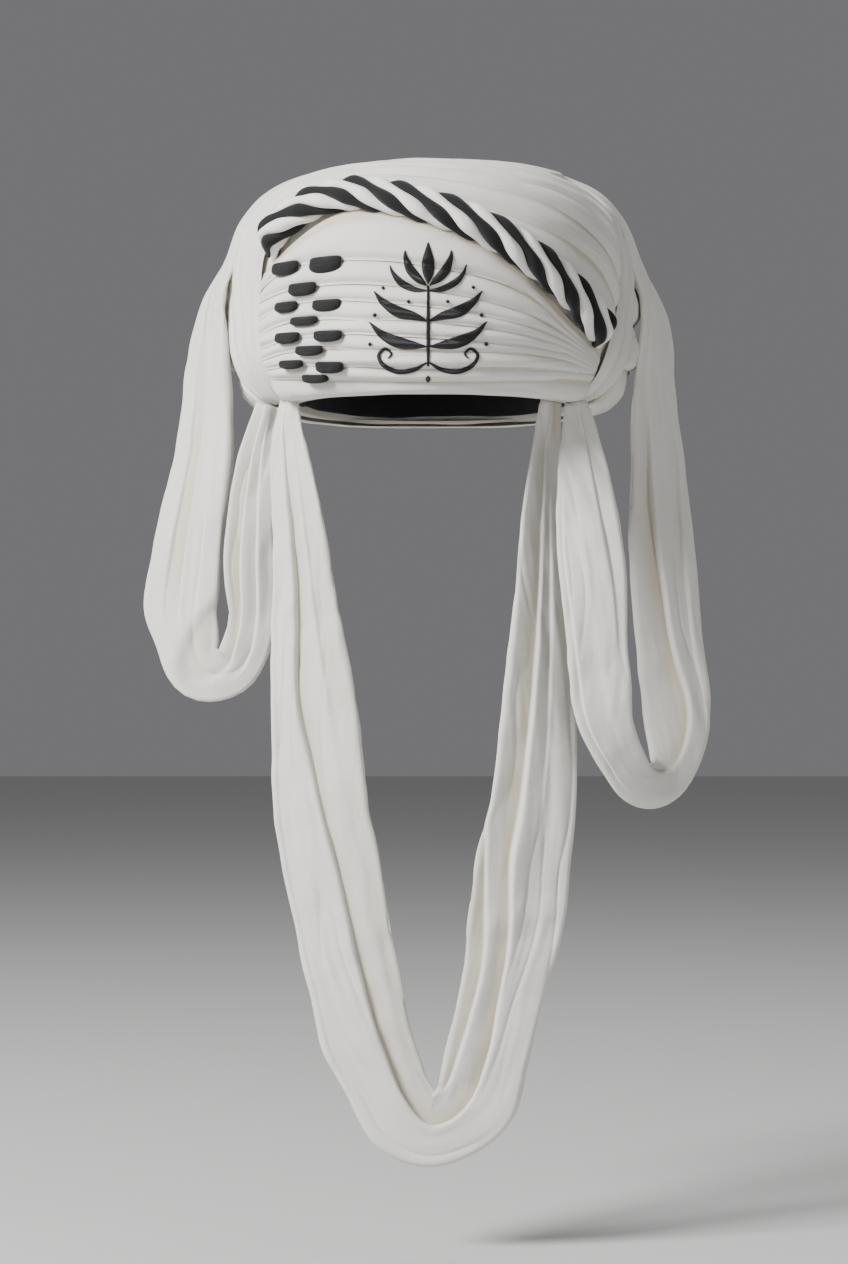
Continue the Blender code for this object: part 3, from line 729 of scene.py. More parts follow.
def satin_thread():
    """Embroidery thread laid side by side across each stroke."""
    name = "black_satin_thread"
    found = bpy.data.materials.get(name)
    if found:
        return found
    material = cloth_material(name, colours().thread, THREAD_PAINTED_SHADE)
    tree = material.node_tree
    raised = next(each for each in tree.nodes if each.type == "BUMP")
    cloth = next(each for each in tree.nodes if each.type == "UVMAP")
    axes = add_node(tree, "ShaderNodeSeparateXYZ", {0: cloth.outputs["UV"]}).outputs
    around = maths(tree, "MULTIPLY", axes["X"], math.tau * THREADS_PER_METRE)
    feed(raised.inputs["Height"], maths(tree, "SINE", around))
    return material


def fold_settings():
    return bpy.context.scene.turban_folds


def trim_settings():
    return bpy.context.scene.turban_trim


def edge_ways(edge, count):
    """Directions along a fold's edge, from its few (azimuth, elevation) rows."""
    rows = [direction(azimuth, elevation) for azimuth, elevation in edge]
    return unit(smooth_run(rows, np.linspace(0.0, 1.0, count)))


def lengthened_ways(edge, count, reach):
    """An edge's directions, carried straight on past each end by a reach."""
    points = crown_point(edge_ways(edge, count))
    steps = np.array((1.0, 0.75, 0.5, 0.25))[:, None]
    before = points[0] + unit(points[0] - points[1]) * reach * steps
    after = points[-1] + unit(points[-1] - points[-2]) * reach * steps[::-1]
    return unit(np.vstack([before, points, after]) - CROWN_MIDDLE)


def eased(values, passes=12):
    """A run of values with its quick changes smoothed out."""
    for _ in range(passes):
        values = (np.concatenate([values[:1], values[:-1]]) + 2 * values
                  + np.concatenate([values[1:], values[-1:]])) / 4
    return values


def fold_strip(proud_edge, tucked_edge, reach):
    """A fold's directions along both edges, its width and its run."""
    rough = crown_point(edge_ways(proud_edge, 24))
    count = max(int(run_lengths(rough)[-1] / COLUMN_LENGTH), LEAST_COLUMNS)
    proud, tucked = (lengthened_ways(edge, count, reach) for edge in (proud_edge, tucked_edge))
    proud_points, tucked_points = crown_point(proud), crown_point(tucked)
    width = eased(np.maximum(np.linalg.norm(tucked_points - proud_points, axis=-1), LEAST_FOLD_WIDTH))
    return proud, tucked, width, run_lengths((proud_points + tucked_points) / 2)


def fold_pinch(width, run, end_run, end_sink):
    """How full a fold is along its run: less where it's narrow and towards its ends."""
    pinch = eased(np.clip(width / FULL_FOLD_WIDTH, LEAST_PINCH, 1.0))
    for left in (run, run[-1] - run):
        pinch = pinch * (1 - end_sink * smooth_step(1 - left / end_run))
    return pinch


def fold_section(width, pinch, wall, tuck):
    """Places round a fold's section as shares of its width, and how far each is on its upper side."""
    rows = int(np.clip(width.max() / ROW_WIDTH, *SECTION_ROWS))
    low, high = (-FOLD_LIP / width)[:, None], (1 + tuck / width)[:, None]
    outer = low + (high - low) * np.linspace(1.0, 0.0, rows) ** ROW_CROWDING
    turn = np.radians(EDGE_TURNS)
    edge = low - (wall / 2 * pinch / width)[:, None] * np.cos(turn)
    under = low + (high - low) * np.linspace(0.0, 1.0, UNDER_ROWS)
    side = np.concatenate([np.ones(rows), (1 + np.sin(turn)) / 2, np.zeros(UNDER_ROWS)])
    return np.concatenate([outer, edge, under], axis=1), side


def rib_grooves(look, along, across, seed):
    """Depth of the grooves between the fine ribs of a side fold."""
    phase = across / look.rib_spacing + 0.8 * soft_noise(along / 0.05, across / 0.012, seed + 5)
    strength = 0.55 + 0.45 * soft_noise(along / 0.06, across / 0.02, seed + 6)
    return look.rib * strength * np.abs(np.cos(np.pi * phase)) ** 3


def fold_piece(name, proud_edge, tucked_edge, seed, ribbed=False, tuck=FOLD_TUCK, reach=END_REACH,
               end_run=END_RUN, end_sink=END_SINK):
    """A strip of cloth on the crown: a rounded fold along its proud edge, tucked in at the other."""
    look = fold_settings()
    fold_rise, fold_wall = (FLAT_RISE, FLAT_WALL) if ribbed else (FOLD_RISE, CLOTH_WALL)
    proud, tucked, width, run = fold_strip(proud_edge, tucked_edge, reach)
    pinch = fold_pinch(width, run, end_run, end_sink)
    share, side = fold_section(width, pinch, fold_wall, tuck)
    along, across, full = np.broadcast_to(run[:, None], share.shape), share * width[:, None], pinch[:, None]

    rise = FOLD_BED + (CLOTH_WALL - fold_wall) * smooth_step(share)
    rise = rise + fold_rise * full * (1 - np.clip(share, -0.2, 1.6))
    shown = smooth_step((1.02 - share) / 0.25) * side
    puff = look.puff * np.minimum(width / FULL_SWELL_WIDTH, MOST_SWELL)[:, None]
    swell = puff * np.sin(np.pi * np.clip(share, 0, 1) ** 0.75)
    crease = look.wrinkle * wrinkles(along, across, *FOLD_WRINKLE, seed)
    rounded = ROUNDED_SHARE * np.clip(1 - np.maximum(across, 0.0) / ROUNDED_WIDTH, 0, 1) ** 2
    lift = rise + fold_wall * full * side * (1 - rounded) + (swell + crease) * full * shown
    if ribbed:
        lift = lift - rib_grooves(look, along, across, seed) * shown * full

    wander = look.wander * soft_noise(run / WANDER_LENGTH, run * 0 + 0.5, seed + 9)
    wander = wander * np.minimum(width / FULL_WANDER_WIDTH, 1.0)
    share = share + (wander / width)[:, None] * (1 - np.clip(share, 0, 1))
    ways = unit(proud[:, None, :] * (1 - share[..., None]) + tucked[:, None, :] * share[..., None])
    # Painted shade towards the tucked edge, where the next fold lies over it, and all over the underside
    painted_shade = np.maximum(smooth_step((share - PAINTED_SHADE_START) / (1 - PAINTED_SHADE_START)), 1 - side)
    across = np.concatenate([across, across[:, :1] + 2 * width[:, None] + 0.01], axis=1)
    along = np.concatenate([along, along[:, :1]], axis=1)
    points = crown_point(ways, lift)
    thing = woven_grid(f"{name}_cloth", points, along, across, painted_shade, closed=True, capped=True)
    finish_piece(thing, white_cotton(), "white_cotton", name)


def rim_edge(azimuths):
    return [(azimuth, float(np.degrees(np.arcsin(rim_direction(azimuth)[..., 2])))) for azimuth in azimuths]


def make_front_pleats():
    edges = [list(zip(PLEAT_AZIMUTHS, row)) for row in PLEAT_EDGES] + [rim_edge(PLEAT_AZIMUTHS)]
    for number, (upper, lower) in enumerate(zip(edges, edges[1:]), 1):
        fold_piece(f"front_pleat_{number}", lower, upper, PLEAT_SEED + SEED_STEP * number,
                   reach=PLEAT_REACH)


def make_side_folds():
    for number, (front, back) in enumerate(zip(ARCH_EDGES, ARCH_EDGES[1:]), 1):
        fold_piece(f"arch_fold_{number}", front, back, ARCH_SEED + SEED_STEP * number, ribbed=True)
    fold_piece("braid_side_fold", *BRAID_SIDE_EDGES, BRAID_SIDE_SEED)
    for number, (front, back) in enumerate(zip(RIGHT_SIDE_EDGES, RIGHT_SIDE_EDGES[1:]), 1):
        seed = RIGHT_SIDE_SEED + SEED_STEP * number
        fold_piece(f"right_side_fold_{number}", front, back, seed, ribbed=True)


def make_back_wraps():
    edges = list(BACK_EDGES)
    edges[0] = rim_edge([row[0] for row in BACK_EDGES[0]])
    for number, (lower, upper) in enumerate(zip(edges, edges[1:]), 1):
        fold_piece(f"back_wrap_{number}", lower, upper, BACK_SEED + SEED_STEP * number,
                   end_run=BACK_END_RUN, end_sink=BACK_END_SINK)
    fold_piece("crown_top_fold", *CROWN_TOP_EDGES, CROWN_TOP_SEED, tuck=CROWN_TOP_TUCK)


def ring_azimuths():
    return np.arange(CORE_SIDES) * 360.0 / CORE_SIDES


def rim_profile(azimuth):
    """The core's soft underside from its outer rim to its inner one, with the wound turns showing."""
    outer = crown_point(rim_direction(azimuth), CORE_SHRINK)
    inner = head_point(azimuth, rim_height(azimuth), LINING_WALL + FIT_GAP)
    rings = []
    for share in np.linspace(0.0, 1.0, RIM_RINGS):
        round_drop = RIM_DROP * math.sin(math.pi * share) ** 0.6
        turns = RIM_TURN_HEIGHT * abs(math.sin(math.pi * RIM_TURNS * share))
        place = outer * (1 - share) + inner * share
        wave = RIM_WAVE * soft_noise(azimuth / 17.0, azimuth * 0 + 4 * share, 71)
        place[:, 2] += -round_drop - turns - wave * math.sin(math.pi * share)
        rings.append(place)
    return rings


def closed_shell(name, rings, girth, painted_shade):
    """A closed mesh through rings round the crown, with a pole at each end."""
    points = np.stack(rings)
    along = np.broadcast_to(run_lengths(points[:, 0])[:, None], (len(rings), CORE_SIDES + 1))
    across = np.broadcast_to(np.linspace(0.0, girth, CORE_SIDES + 1), along.shape)
    valleys = np.full(points.shape[:2], painted_shade)
    return woven_grid(name, points, along, across, valleys, closed=True, capped=True)


def make_core():
    azimuth = ring_azimuths()
    rings = [crown_point(direction(azimuth, elevation), CORE_SHRINK)
             for elevation in np.linspace(POLE, 0.0, CORE_TOP_RINGS)]
    rim = np.degrees(np.arcsin(rim_direction(azimuth)[:, 2]))
    rings += [crown_point(direction(azimuth, rim * share), CORE_SHRINK) for share in CORE_SIDE_SHARES]
    rings += rim_profile(azimuth)
    low, seat = rim_height(azimuth), LINING_WALL + FIT_GAP
    for turn in np.radians(np.linspace(2.0, POLE, CORE_INNER_RINGS)):
        height = low + (HEAD_TOP + seat - low) * math.sin(turn)
        wave = CORE_HEM_WAVE * soft_noise(azimuth / 9.0, azimuth * 0 + height / 0.004, 77)
        ring = head_point(azimuth, height, seat)
        wave = wave * smooth_step((CORE_HEM_HEIGHT - height) / CORE_HEM_FADE)
        rings.append(ring - heading(azimuth) * wave[:, None])
    # The core takes an even painted shade all over
    thing = closed_shell("wound_core_cloth", rings, CORE_GIRTH, CORE_PAINTED_SHADE)
    finish_piece(thing, white_cotton(), "white_cotton", "wound_core")


def make_lining():
    """The black cap inside, with a soft turned edge that waves a little."""
    azimuth = ring_azimuths()
    low = rim_height(azimuth)
    edge = (low + LINING_EDGE_HEIGHT - LINING_HEM_DROP
            + LINING_HEM_WAVE * soft_noise(azimuth / 13.0, azimuth * 0, 81))
    rings = []
    for turn in np.radians(np.linspace(POLE, 0.0, LINING_RINGS)):
        height = low + (HEAD_TOP + LINING_OUTSIDE - low) * math.sin(turn)
        height = np.maximum(height, edge + LINING_HEM_OUTSIDE)
        rings.append(head_point(azimuth, height, LINING_OUTSIDE))
    rings += [head_point(azimuth, edge + drop, offset) for offset, drop in LINING_HEM]
    for turn in np.radians(np.linspace(0.0, POLE, LINING_RINGS)):
        height = np.maximum(low + (HEAD_TOP - low) * math.sin(turn), edge + LINING_HEM_INSIDE)
        pucker = LINING_PUCKER * soft_noise(azimuth / 5.0, height / 0.020, 83) * smooth_step(math.cos(turn))
        rings.append(head_point(azimuth, height, 0.0) - heading(azimuth) * pucker[:, None])
    thing = closed_shell("inner_cap_cloth", rings, LINING_GIRTH, 0.0)
    finish_piece(thing, black_cotton(), "black_cloth", "inner_cap")


def crown_normals(ways, along):
    """The crown's outward normals on a line that runs along it."""
    beside = unit(ways + np.cross(along, ways) * 0.02)
    out = unit(np.cross(crown_point(beside) - crown_point(ways), along))
    return out * np.sign(np.einsum("ij,ij->i", out, ways))[:, None]


def braid_frames():
    """Places along the braid: seat, sideways and outward directions, run so far and how sunk it is."""
    core = crown_point(edge_ways(BRAID_AXIS, STRAND_STATIONS), BRAID_SEAT)
    ways = lengthened_ways(BRAID_AXIS, STRAND_STATIONS, BRAID_REACH)
    seats = crown_point(ways, BRAID_SEAT)
    run = run_lengths(seats) - BRAID_REACH
    length = run_lengths(core)[-1]
    sink = (smooth_step(1 - (run + BRAID_REACH) / BRAID_END_RUN)
            + smooth_step(1 - (length + BRAID_REACH - run) / BRAID_END_RUN))
    along = unit(np.gradient(seats, axis=0))
    out = crown_normals(ways, along)
    return seats - out * (BRAID_SINK * sink)[:, None], np.cross(along, out), out, run, sink


def make_braid():
    seats, side, out, run, sink = braid_frames()
    middle, ends = seats + out * BRAID_LIFT, np.minimum(sink, 1.0)
    for strand in range(STRAND_COUNT):
        turn = math.tau * (strand / STRAND_COUNT - run / BRAID_PITCH)
        turn = turn + BRAID_SPREAD * np.sin(2 * turn)
        line = middle + side * (STRAND_WIDE * (1 - END_NARROW * ends) * np.cos(turn))[:, None]
        line = line + out * (STRAND_TALL * (1 - END_FLAT * ends) * np.sin(turn))[:, None]
        full = trim_settings().strand * (1 - STRAND_SQUEEZE * np.cos(4 * turn)) * (1 - END_THIN * ends)
        add_strand(strand, line, middle, full, run)


def add_strand(strand, line, middle, full, run):
    """One plump strand of the braid, flattened where it presses on the next."""
    along = unit(np.gradient(line, axis=0))
    outward = line - middle
    outward = unit(outward - along * np.einsum("ij,ij->i", outward, along)[:, None])
    beside = np.cross(along, outward)
    angle = np.linspace(0.0, math.tau, STRAND_SIDES, endpoint=False)
    pull = STRAND_PULL * soft_noise(run[:, None] / 0.006, angle[None] * 1.6 + 7 * strand, 40 + strand)
    radius = full[:, None] * (1 + pull)
    round_it = (outward[:, None] * np.cos(angle)[None, :, None]
                + beside[:, None] * (np.sin(angle) * STRAND_FLAT)[None, :, None])
    points = line[:, None] + radius[..., None] * round_it
    wide = np.broadcast_to(np.linspace(0.0, math.tau, STRAND_SIDES + 1) * STRAND_GIRTH_RADIUS,
                           (len(run), STRAND_SIDES + 1))
    # Painted shade on the side of each strand that faces the braid's middle
    painted_shade = np.broadcast_to(smooth_step((0.25 - np.cos(angle)) / 1.1), points.shape[:2])
    name = f"braid_strand_{strand + 1}"
    lay = run[:, None] + 0.5 * wide
    thing = woven_grid(f"{name}_yarn", points, lay, wide, painted_shade, closed=True, capped=True)
    material, slot = (black_cotton(), "black_cloth") if strand % 2 else (white_yarn(), "white_cotton")
    finish_piece(thing, material, slot, name)


def make_tabs():
    """Puffy loops of black tape: straight along the top, rounded and full below."""
    for number, (azimuth, elevation, wide, tall, rise) in enumerate(TABS, 1):
        add_tab(number, azimuth, elevation, TAB_WIDTH * wide, TAB_HEIGHT * tall, rise)


def tab_outline(width, height):
    """Offsets round a tab, squarer above than below."""
    angle = np.linspace(0.0, math.tau, TAB_SIDES, endpoint=False)
    above, below = TAB_CORNERS
    corner = np.where(np.sin(angle) > 0, above, below)
    x, z = (np.sign(part) * np.abs(part) ** corner for part in (np.cos(angle), np.sin(angle)))
    return x * width / 2, z * height / 2


def add_tab(number, azimuth, elevation, width, height, rise):
    seat = FOLD_BED + FOLD_RISE * rise + CLOTH_WALL + 0.0001
    radius = np.linalg.norm(crown_point(direction(azimuth, elevation)) - CROWN_MIDDLE)
    narrowing = np.cos(np.radians(elevation))
    x, z = tab_outline(width, height)
    floor = direction(azimuth + np.degrees(2 * TAB_FLOOR_SHARE * x / radius),
                      elevation + np.degrees(2 * TAB_FLOOR_SHARE * z / radius))
    rings, along = [crown_point(floor, seat - 0.0001)], [0.0]
    for share, lift in TAB_LAYERS:
        dx, dz = share * x, share * z
        ripple = TAB_RIPPLE * soft_noise(dx / 0.0035 + 3 * number, dz / 0.002, 60 + number) * (lift > 0.3)
        top = 1 - TAB_SLOPE * smooth_step((dz / height + 0.1) / 0.6)
        way = direction(azimuth + np.degrees(dx / radius / narrowing), elevation + np.degrees(dz / radius))
        rings.append(crown_point(way, seat + trim_settings().tab * lift * top * (1 + ripple)))
        along.append(share * width)
    points = np.stack(rings)
    along = np.broadcast_to(np.array(along)[:, None], (len(points), TAB_SIDES + 1))
    across = np.broadcast_to(np.linspace(0.0, 2 * (width + height), TAB_SIDES + 1), along.shape)
    name = f"tape_tab_{number}"
    thing = woven_grid(f"{name}_tape", points, along, across, np.zeros(points.shape[:2]), True, True)
    finish_piece(thing, black_cotton(), "black_cloth", name)


def shoulder_rows(side, elevations):
    """Sections laid over the crown's top, on the left for a side of -1 and on the right for 1."""
    fold_depth = SHOULDER_FOLD_SHARE * TIE_FOLD_DEPTH
    lift = FOLD_BED + FOLD_RISE + CLOTH_WALL + TIE_CLEARANCE + fold_depth + TIE_WALL / 2
    rows = []
    for elevation in elevations:
        place = crown_point(direction(side * 90.0, elevation), lift)
        rows.append((*place, SHOULDER_WIDTH_SHARE * TIE_HALF_WIDTH, fold_depth, -side * 90.0))
    return rows


def hanging_rows(table, drop):
    """Sections of a tie that hangs clear of the crown."""
    rows = []
    for x, y, z, wide, deep, turn in table:
        height = z * (CROWN_TOP if z > 0 else drop)
        place = (x * CROWN_HALF_WIDTH, y * CROWN_HALF_DEPTH, height)
        rows.append((*place, wide * TIE_HALF_WIDTH, deep * TIE_FOLD_DEPTH, turn))
    return rows


def turned_back(rows):
    return [(*row[:5], -row[5]) for row in rows[::-1]]


# Creases of the ties. Each is its sharpness as a share of the half width, how far the upper cloth laps
# over, and its points: share of the tie's length, place across it from -1 to 1, and height as a share
# of the fold height, above 0 where the side towards -1 is the upper one
LOOP_CREASES = (
    (0.07, 1.3, ((0.00, -0.10, 0.30), (0.05, -0.10, 0.55), (0.13, -0.12, 0.70), (0.20, -0.32, 0.80),
                 (0.28, 0.07, 0.85), (0.355, 0.28, 0.85), (0.40, 0.19, 0.85), (0.455, 0.25, 0.80),
                 (0.50, 0.10, 0.70), (0.56, 0.02, 0.80), (0.60, 0.05, 0.85), (0.635, 0.06, 0.85),
                 (0.70, 0.36, 0.80), (0.745, 0.30, 0.60), (0.82, 0.22, 0.40), (0.92, 0.10, 0.35),
                 (1.00, 0.0, 0.20))),
    (0.06, 1.1, ((0.50, 1.30, 0.00), (0.53, 0.80, 0.40), (0.56, 0.68, 0.60), (0.60, 0.60, 0.65),
                 (0.635, 0.56, 0.60), (0.70, 0.86, 0.50), (0.74, 1.20, 0.00))),
    (0.24, 0.0, ((0.05, 0.60, 0.00), (0.20, 0.50, 0.20), (0.33, 0.70, 0.25), (0.42, 0.75, 0.20),
                 (0.50, 0.70, 0.0))),
    (0.22, 0.0, ((0.50, -0.50, 0.00), (0.56, -0.50, 0.25), (0.635, -0.45, 0.35), (0.72, -0.50, 0.30),
                 (0.82, -0.35, 0.20), (0.95, -0.20, 0.00))),
    (0.03, 0.6, ((0.03, -0.86, 0.00), (0.12, -0.85, 0.10), (0.30, -0.86, 0.12), (0.44, -0.86, 0.08),
                 (0.48, -0.9, 0.0))),
    (0.04, 0.6, ((0.72, -0.10, 0.00), (0.78, -0.15, 0.24), (0.88, -0.20, 0.28), (0.97, -0.25, 0.00))),
    (0.04, 0.6, ((0.02, 0.45, 0.00), (0.08, 0.40, 0.28), (0.16, 0.42, 0.24), (0.24, 0.48, 0.00))),
)
OVER_CREASES = (
    (0.08, 1.3, ((0.00, -0.15, -0.50), (0.04, -0.25, -0.75), (0.09, -0.35, -0.80), (0.118, -0.30, -0.70),
                 (0.126, 0.10, -0.40), (0.132, 0.60, 0.00))),
    (0.06, 1.0, ((0.01, 0.20, -0.15), (0.05, 0.25, -0.35), (0.10, 0.30, -0.40), (0.122, 0.45, 0.00))),
    (0.34, 0.25, ((0.118, 1.50, 0.00), (0.130, 1.00, -0.70), (0.141, 0.45, -0.90), (0.153, -0.30, -0.90),
                  (0.165, -0.95, -0.70), (0.178, -1.50, 0.00))),
    (0.03, 0.7, ((0.160, -0.40, 0.00), (0.19, -0.45, 0.24), (0.26, -0.50, 0.28), (0.32, -0.48, 0.18),
                 (0.36, -0.4, 0.0))),
    (0.03, 0.7, ((0.150, 0.10, 0.00), (0.18, 0.02, 0.28), (0.25, -0.08, 0.22), (0.33, -0.05, 0.26),
                 (0.42, 0.0, 0.06), (0.50, 0.1, 0.10), (0.60, 0.10, 0.00))),
    (0.03, 0.7, ((0.150, 0.50, 0.00), (0.19, 0.45, -0.26), (0.24, 0.36, -0.30), (0.31, 0.40, -0.22),
                 (0.40, 0.42, -0.05), (0.52, 0.50, -0.10), (0.58, 0.60, 0.00))),
    (0.20, 0.0, ((0.150, -0.2, 0.00), (0.18, -0.20, 0.20), (0.24, -0.25, 0.22), (0.30, -0.2, 0.10),
                 (0.36, -0.2, 0.00))),
    (0.08, 1.3, ((0.560, -0.70, 0.00), (0.61, -0.58, -0.30), (0.656, -0.38, -0.70), (0.703, -0.08, -0.80),
                 (0.742, 0.08, -0.85), (0.767, 0.40, -0.80), (0.790, 0.25, -0.75), (0.806, -0.55, -0.60),
                 (0.820, -1.30, 0.00))),
    (0.05, 1.0, ((0.600, 0.55, 0.00), (0.656, 0.66, -0.28), (0.70, 0.60, -0.32), (0.745, 0.62, -0.28),
                 (0.775, 0.90, 0.0))),
    (0.05, 0.8, ((0.815, 0.60, 0.00), (0.835, 0.62, 0.26), (0.87, 0.70, 0.30), (0.92, 0.78, 0.24),
                 (0.97, 0.80, 0.00))),
    (0.26, 0.0, ((0.825, -0.4, 0.00), (0.85, -0.30, 0.30), (0.88, -0.05, 0.25), (0.93, 0.20, 0.25),
                 (0.98, 0.30, 0.10))),
    (0.06, 1.0, ((0.880, -0.75, 0.00), (0.92, -0.60, -0.25), (0.96, -0.35, -0.40), (1.00, -0.10, -0.40))),
)
# Corners where the cloth bends at the bottom of a tie: share of its length, and how far the outer and the
# inner edge stand out there
LOOP_CORNERS = (
    (0.38, 0.0, 0.0), (0.425, 0.0025, -0.001), (0.455, -0.0026, 0.0), (0.48, 0.0022, -0.003),
    (0.505, -0.0030, -0.005), (0.535, 0.0020, -0.002), (0.57, -0.0018, 0.0), (0.62, 0.0, 0.0),
)
OVER_CORNERS = (
    (0.085, 0.0, 0.0), (0.105, 0.0016, -0.001), (0.122, -0.0024, -0.004), (0.135, 0.0030, -0.005),
    (0.150, -0.0020, -0.001), (0.163, 0.0024, 0.0), (0.185, 0.0, 0.0), (0.25, 0.0, 0.0),
    (0.29, 0.0, 0.0035), (0.33, 0.0, 0.0), (0.57, 0.0, 0.0), (0.61, 0.0, 0.0035), (0.65, 0.0, 0.0),
    (0.75, 0.0, 0.0), (0.775, 0.0020, 0.001), (0.795, -0.0018, -0.001), (0.812, 0.0016, -0.002),
    (0.835, -0.0020, 0.001), (0.86, 0.0, 0.0),
)
EDGE_STRAY = 0.0022
WIDE_TIE = 0.02
LAP_DROP = 0.0018
SHOULDER_SINK = 0.0016
SHOULDER_HUG = 0.0052
CREASE_REACH = 0.34
# Crease depth at which a tie's painted shade is full
PAINTED_SHADE_DEPTH = 0.003
KNOT_RUN = 0.045
KNOT_FOLDS = 3
KNOT_RIPPLE = 0.0010
TIE_STEP = 0.0033
ROUTE_POINTS = 900
TIE_WRINKLE = (0.050, 0.0075)
TIE_SWELL = 0.25
OVER_SEED = 900
LOOP_SEED = 950
# Points round a tie's section: part of its back, each edge, its front and the lapped rest of its back
SECTION_POINTS = (14, 10, 60, 22)


def tie_settings():
    return bpy.context.scene.turban_ties


def tie_outline():
    """Each point round a folded tie: its share of the half width, of the half depth sideways and outwards,
    and how far it is lapped."""
    back, edge, front, rest = SECTION_POINTS
    rows = []
    for t in np.linspace(0.0, 1.0, back, endpoint=False):
        rows.append((0.25 - 1.25 * t, t, -1.0, 0.0))
    for turn in np.radians(np.linspace(-90, 90, edge, endpoint=False)):
        rows.append((-1.0, 1 - math.cos(turn), math.sin(turn), 0.0))
    for t in np.linspace(0.0, 1.0, front, endpoint=False):
        rows.append((-1 + 2 * t, 1 - 2 * t, 1.0, 0.0))
    for turn in np.radians(np.linspace(90, -90, edge, endpoint=False)):
        rows.append((1.0, math.cos(turn) - 1, math.sin(turn), 0.0))
    for t in np.linspace(0.0, 1.0, rest):
        rows.append((1 - 1.45 * t, t - 1, -1.0, float(smooth_step(3 * t))))
    return np.array(rows).T


def tie_frames(rows):
    """Even stations along a tie: centre, side, front, half width, fold depth and run."""
    fine = smooth_run(rows, np.linspace(0.0, 1.0, ROUTE_POINTS))
    run = run_lengths(fine[:, :3])
    count = int(run[-1] / TIE_STEP)
    even = np.linspace(0.0, run[-1], count)
    found = np.stack([np.interp(even, run, fine[:, column]) for column in range(6)], axis=-1)
    centre = found[:, :3]
    along = unit(np.gradient(centre, axis=0))
    side = unit(np.stack([-along[:, 2], along[:, 0] * 0, along[:, 0]], axis=-1))
    turn = np.radians(found[:, 5])[:, None]
    side = side * np.cos(turn) + np.cross(along, side) * np.sin(turn)
    side = unit(side - along * np.einsum("ij,ij->i", side, along)[:, None])
    return centre, side, np.cross(along, side), found[:, 3], found[:, 4], even


def crease_line(points, progress):
    """A crease's place and height along a tie, with no height outside its points."""
    shares, places, heights = np.array(points).T
    height = np.interp(progress, shares, heights)
    outside = (progress < shares[0] - 1e-9) | (progress > shares[-1] + 1e-9)
    return np.interp(progress, shares, places), np.where(outside, 0.0, height)


def tie_folds(share, run, creases, seed):
    """How far a tie's creases raise its cloth, and how far they draw it sideways."""
    progress = run / run[-1]
    raised, drawn = np.zeros_like(share), np.zeros_like(share)
    for number, (sharp, lap, points) in enumerate(creases):
        place, height = crease_line(points, progress)
        place = place + 0.05 * soft_noise(run / 0.075, run * 0 + number, seed + number)
        height = height * (0.92 + 0.25 * soft_noise(run / 0.09, run * 0 + 9 + number, seed + 31))
        away = share - eased(place)[:, None]
        height = eased(height)[:, None]
        step = np.tanh(1.5 * away / sharp) * np.exp(-np.abs(away) / (CREASE_REACH + sharp))
        raised = raised - height * step
        near = away / sharp
        drawn = drawn - lap * sharp * near * np.exp(-near ** 2 / 2) * np.minimum(np.abs(height), 1)
    return raised, drawn


def tie_edges(run, half, corners, outer_low, seed):
    """How far a tie's two edges stand out along its run."""
    progress = run / run[-1]
    shares, outer, inner = np.array(corners).T
    low, high = (outer, inner) if outer_low else (inner, outer)
    stray = EDGE_STRAY * smooth_step(half / WIDE_TIE)
    low_edge, high_edge = (eased(np.interp(progress, shares, edge), 3) for edge in (-low, high))
    low_edge = low_edge + stray * soft_noise(run / 0.045, run * 0 + 3.5, seed + 80)
    high_edge = high_edge + stray * soft_noise(run / 0.045, run * 0 + 6.5, seed + 82)
    return low_edge[:, None], high_edge[:, None]


def tie_growth(run, long_run, across, seed):
    """Small wrinkles all over a tie, and the gathers near its two ends."""
    wrinkle = tie_settings().wrinkle
    crease = wrinkle * wrinkles(long_run, across, *TIE_WRINKLE, seed + 60)
    cross = 0.5 * wrinkle * soft_noise(run[:, None] / 0.013 + across / 0.03, across / 0.035, seed + 70)
    gather = smooth_step(1 - run / KNOT_RUN) + smooth_step(1 - (run[-1] - run) / KNOT_RUN)
    ripples = np.sin(across / np.maximum(across[:, -1:], 1e-6) * math.tau * KNOT_FOLDS
                     + 3 * soft_noise(long_run / 0.03, across / 0.02, seed + 51))
    return crease + cross + KNOT_RIPPLE * ripples * gather[:, None]


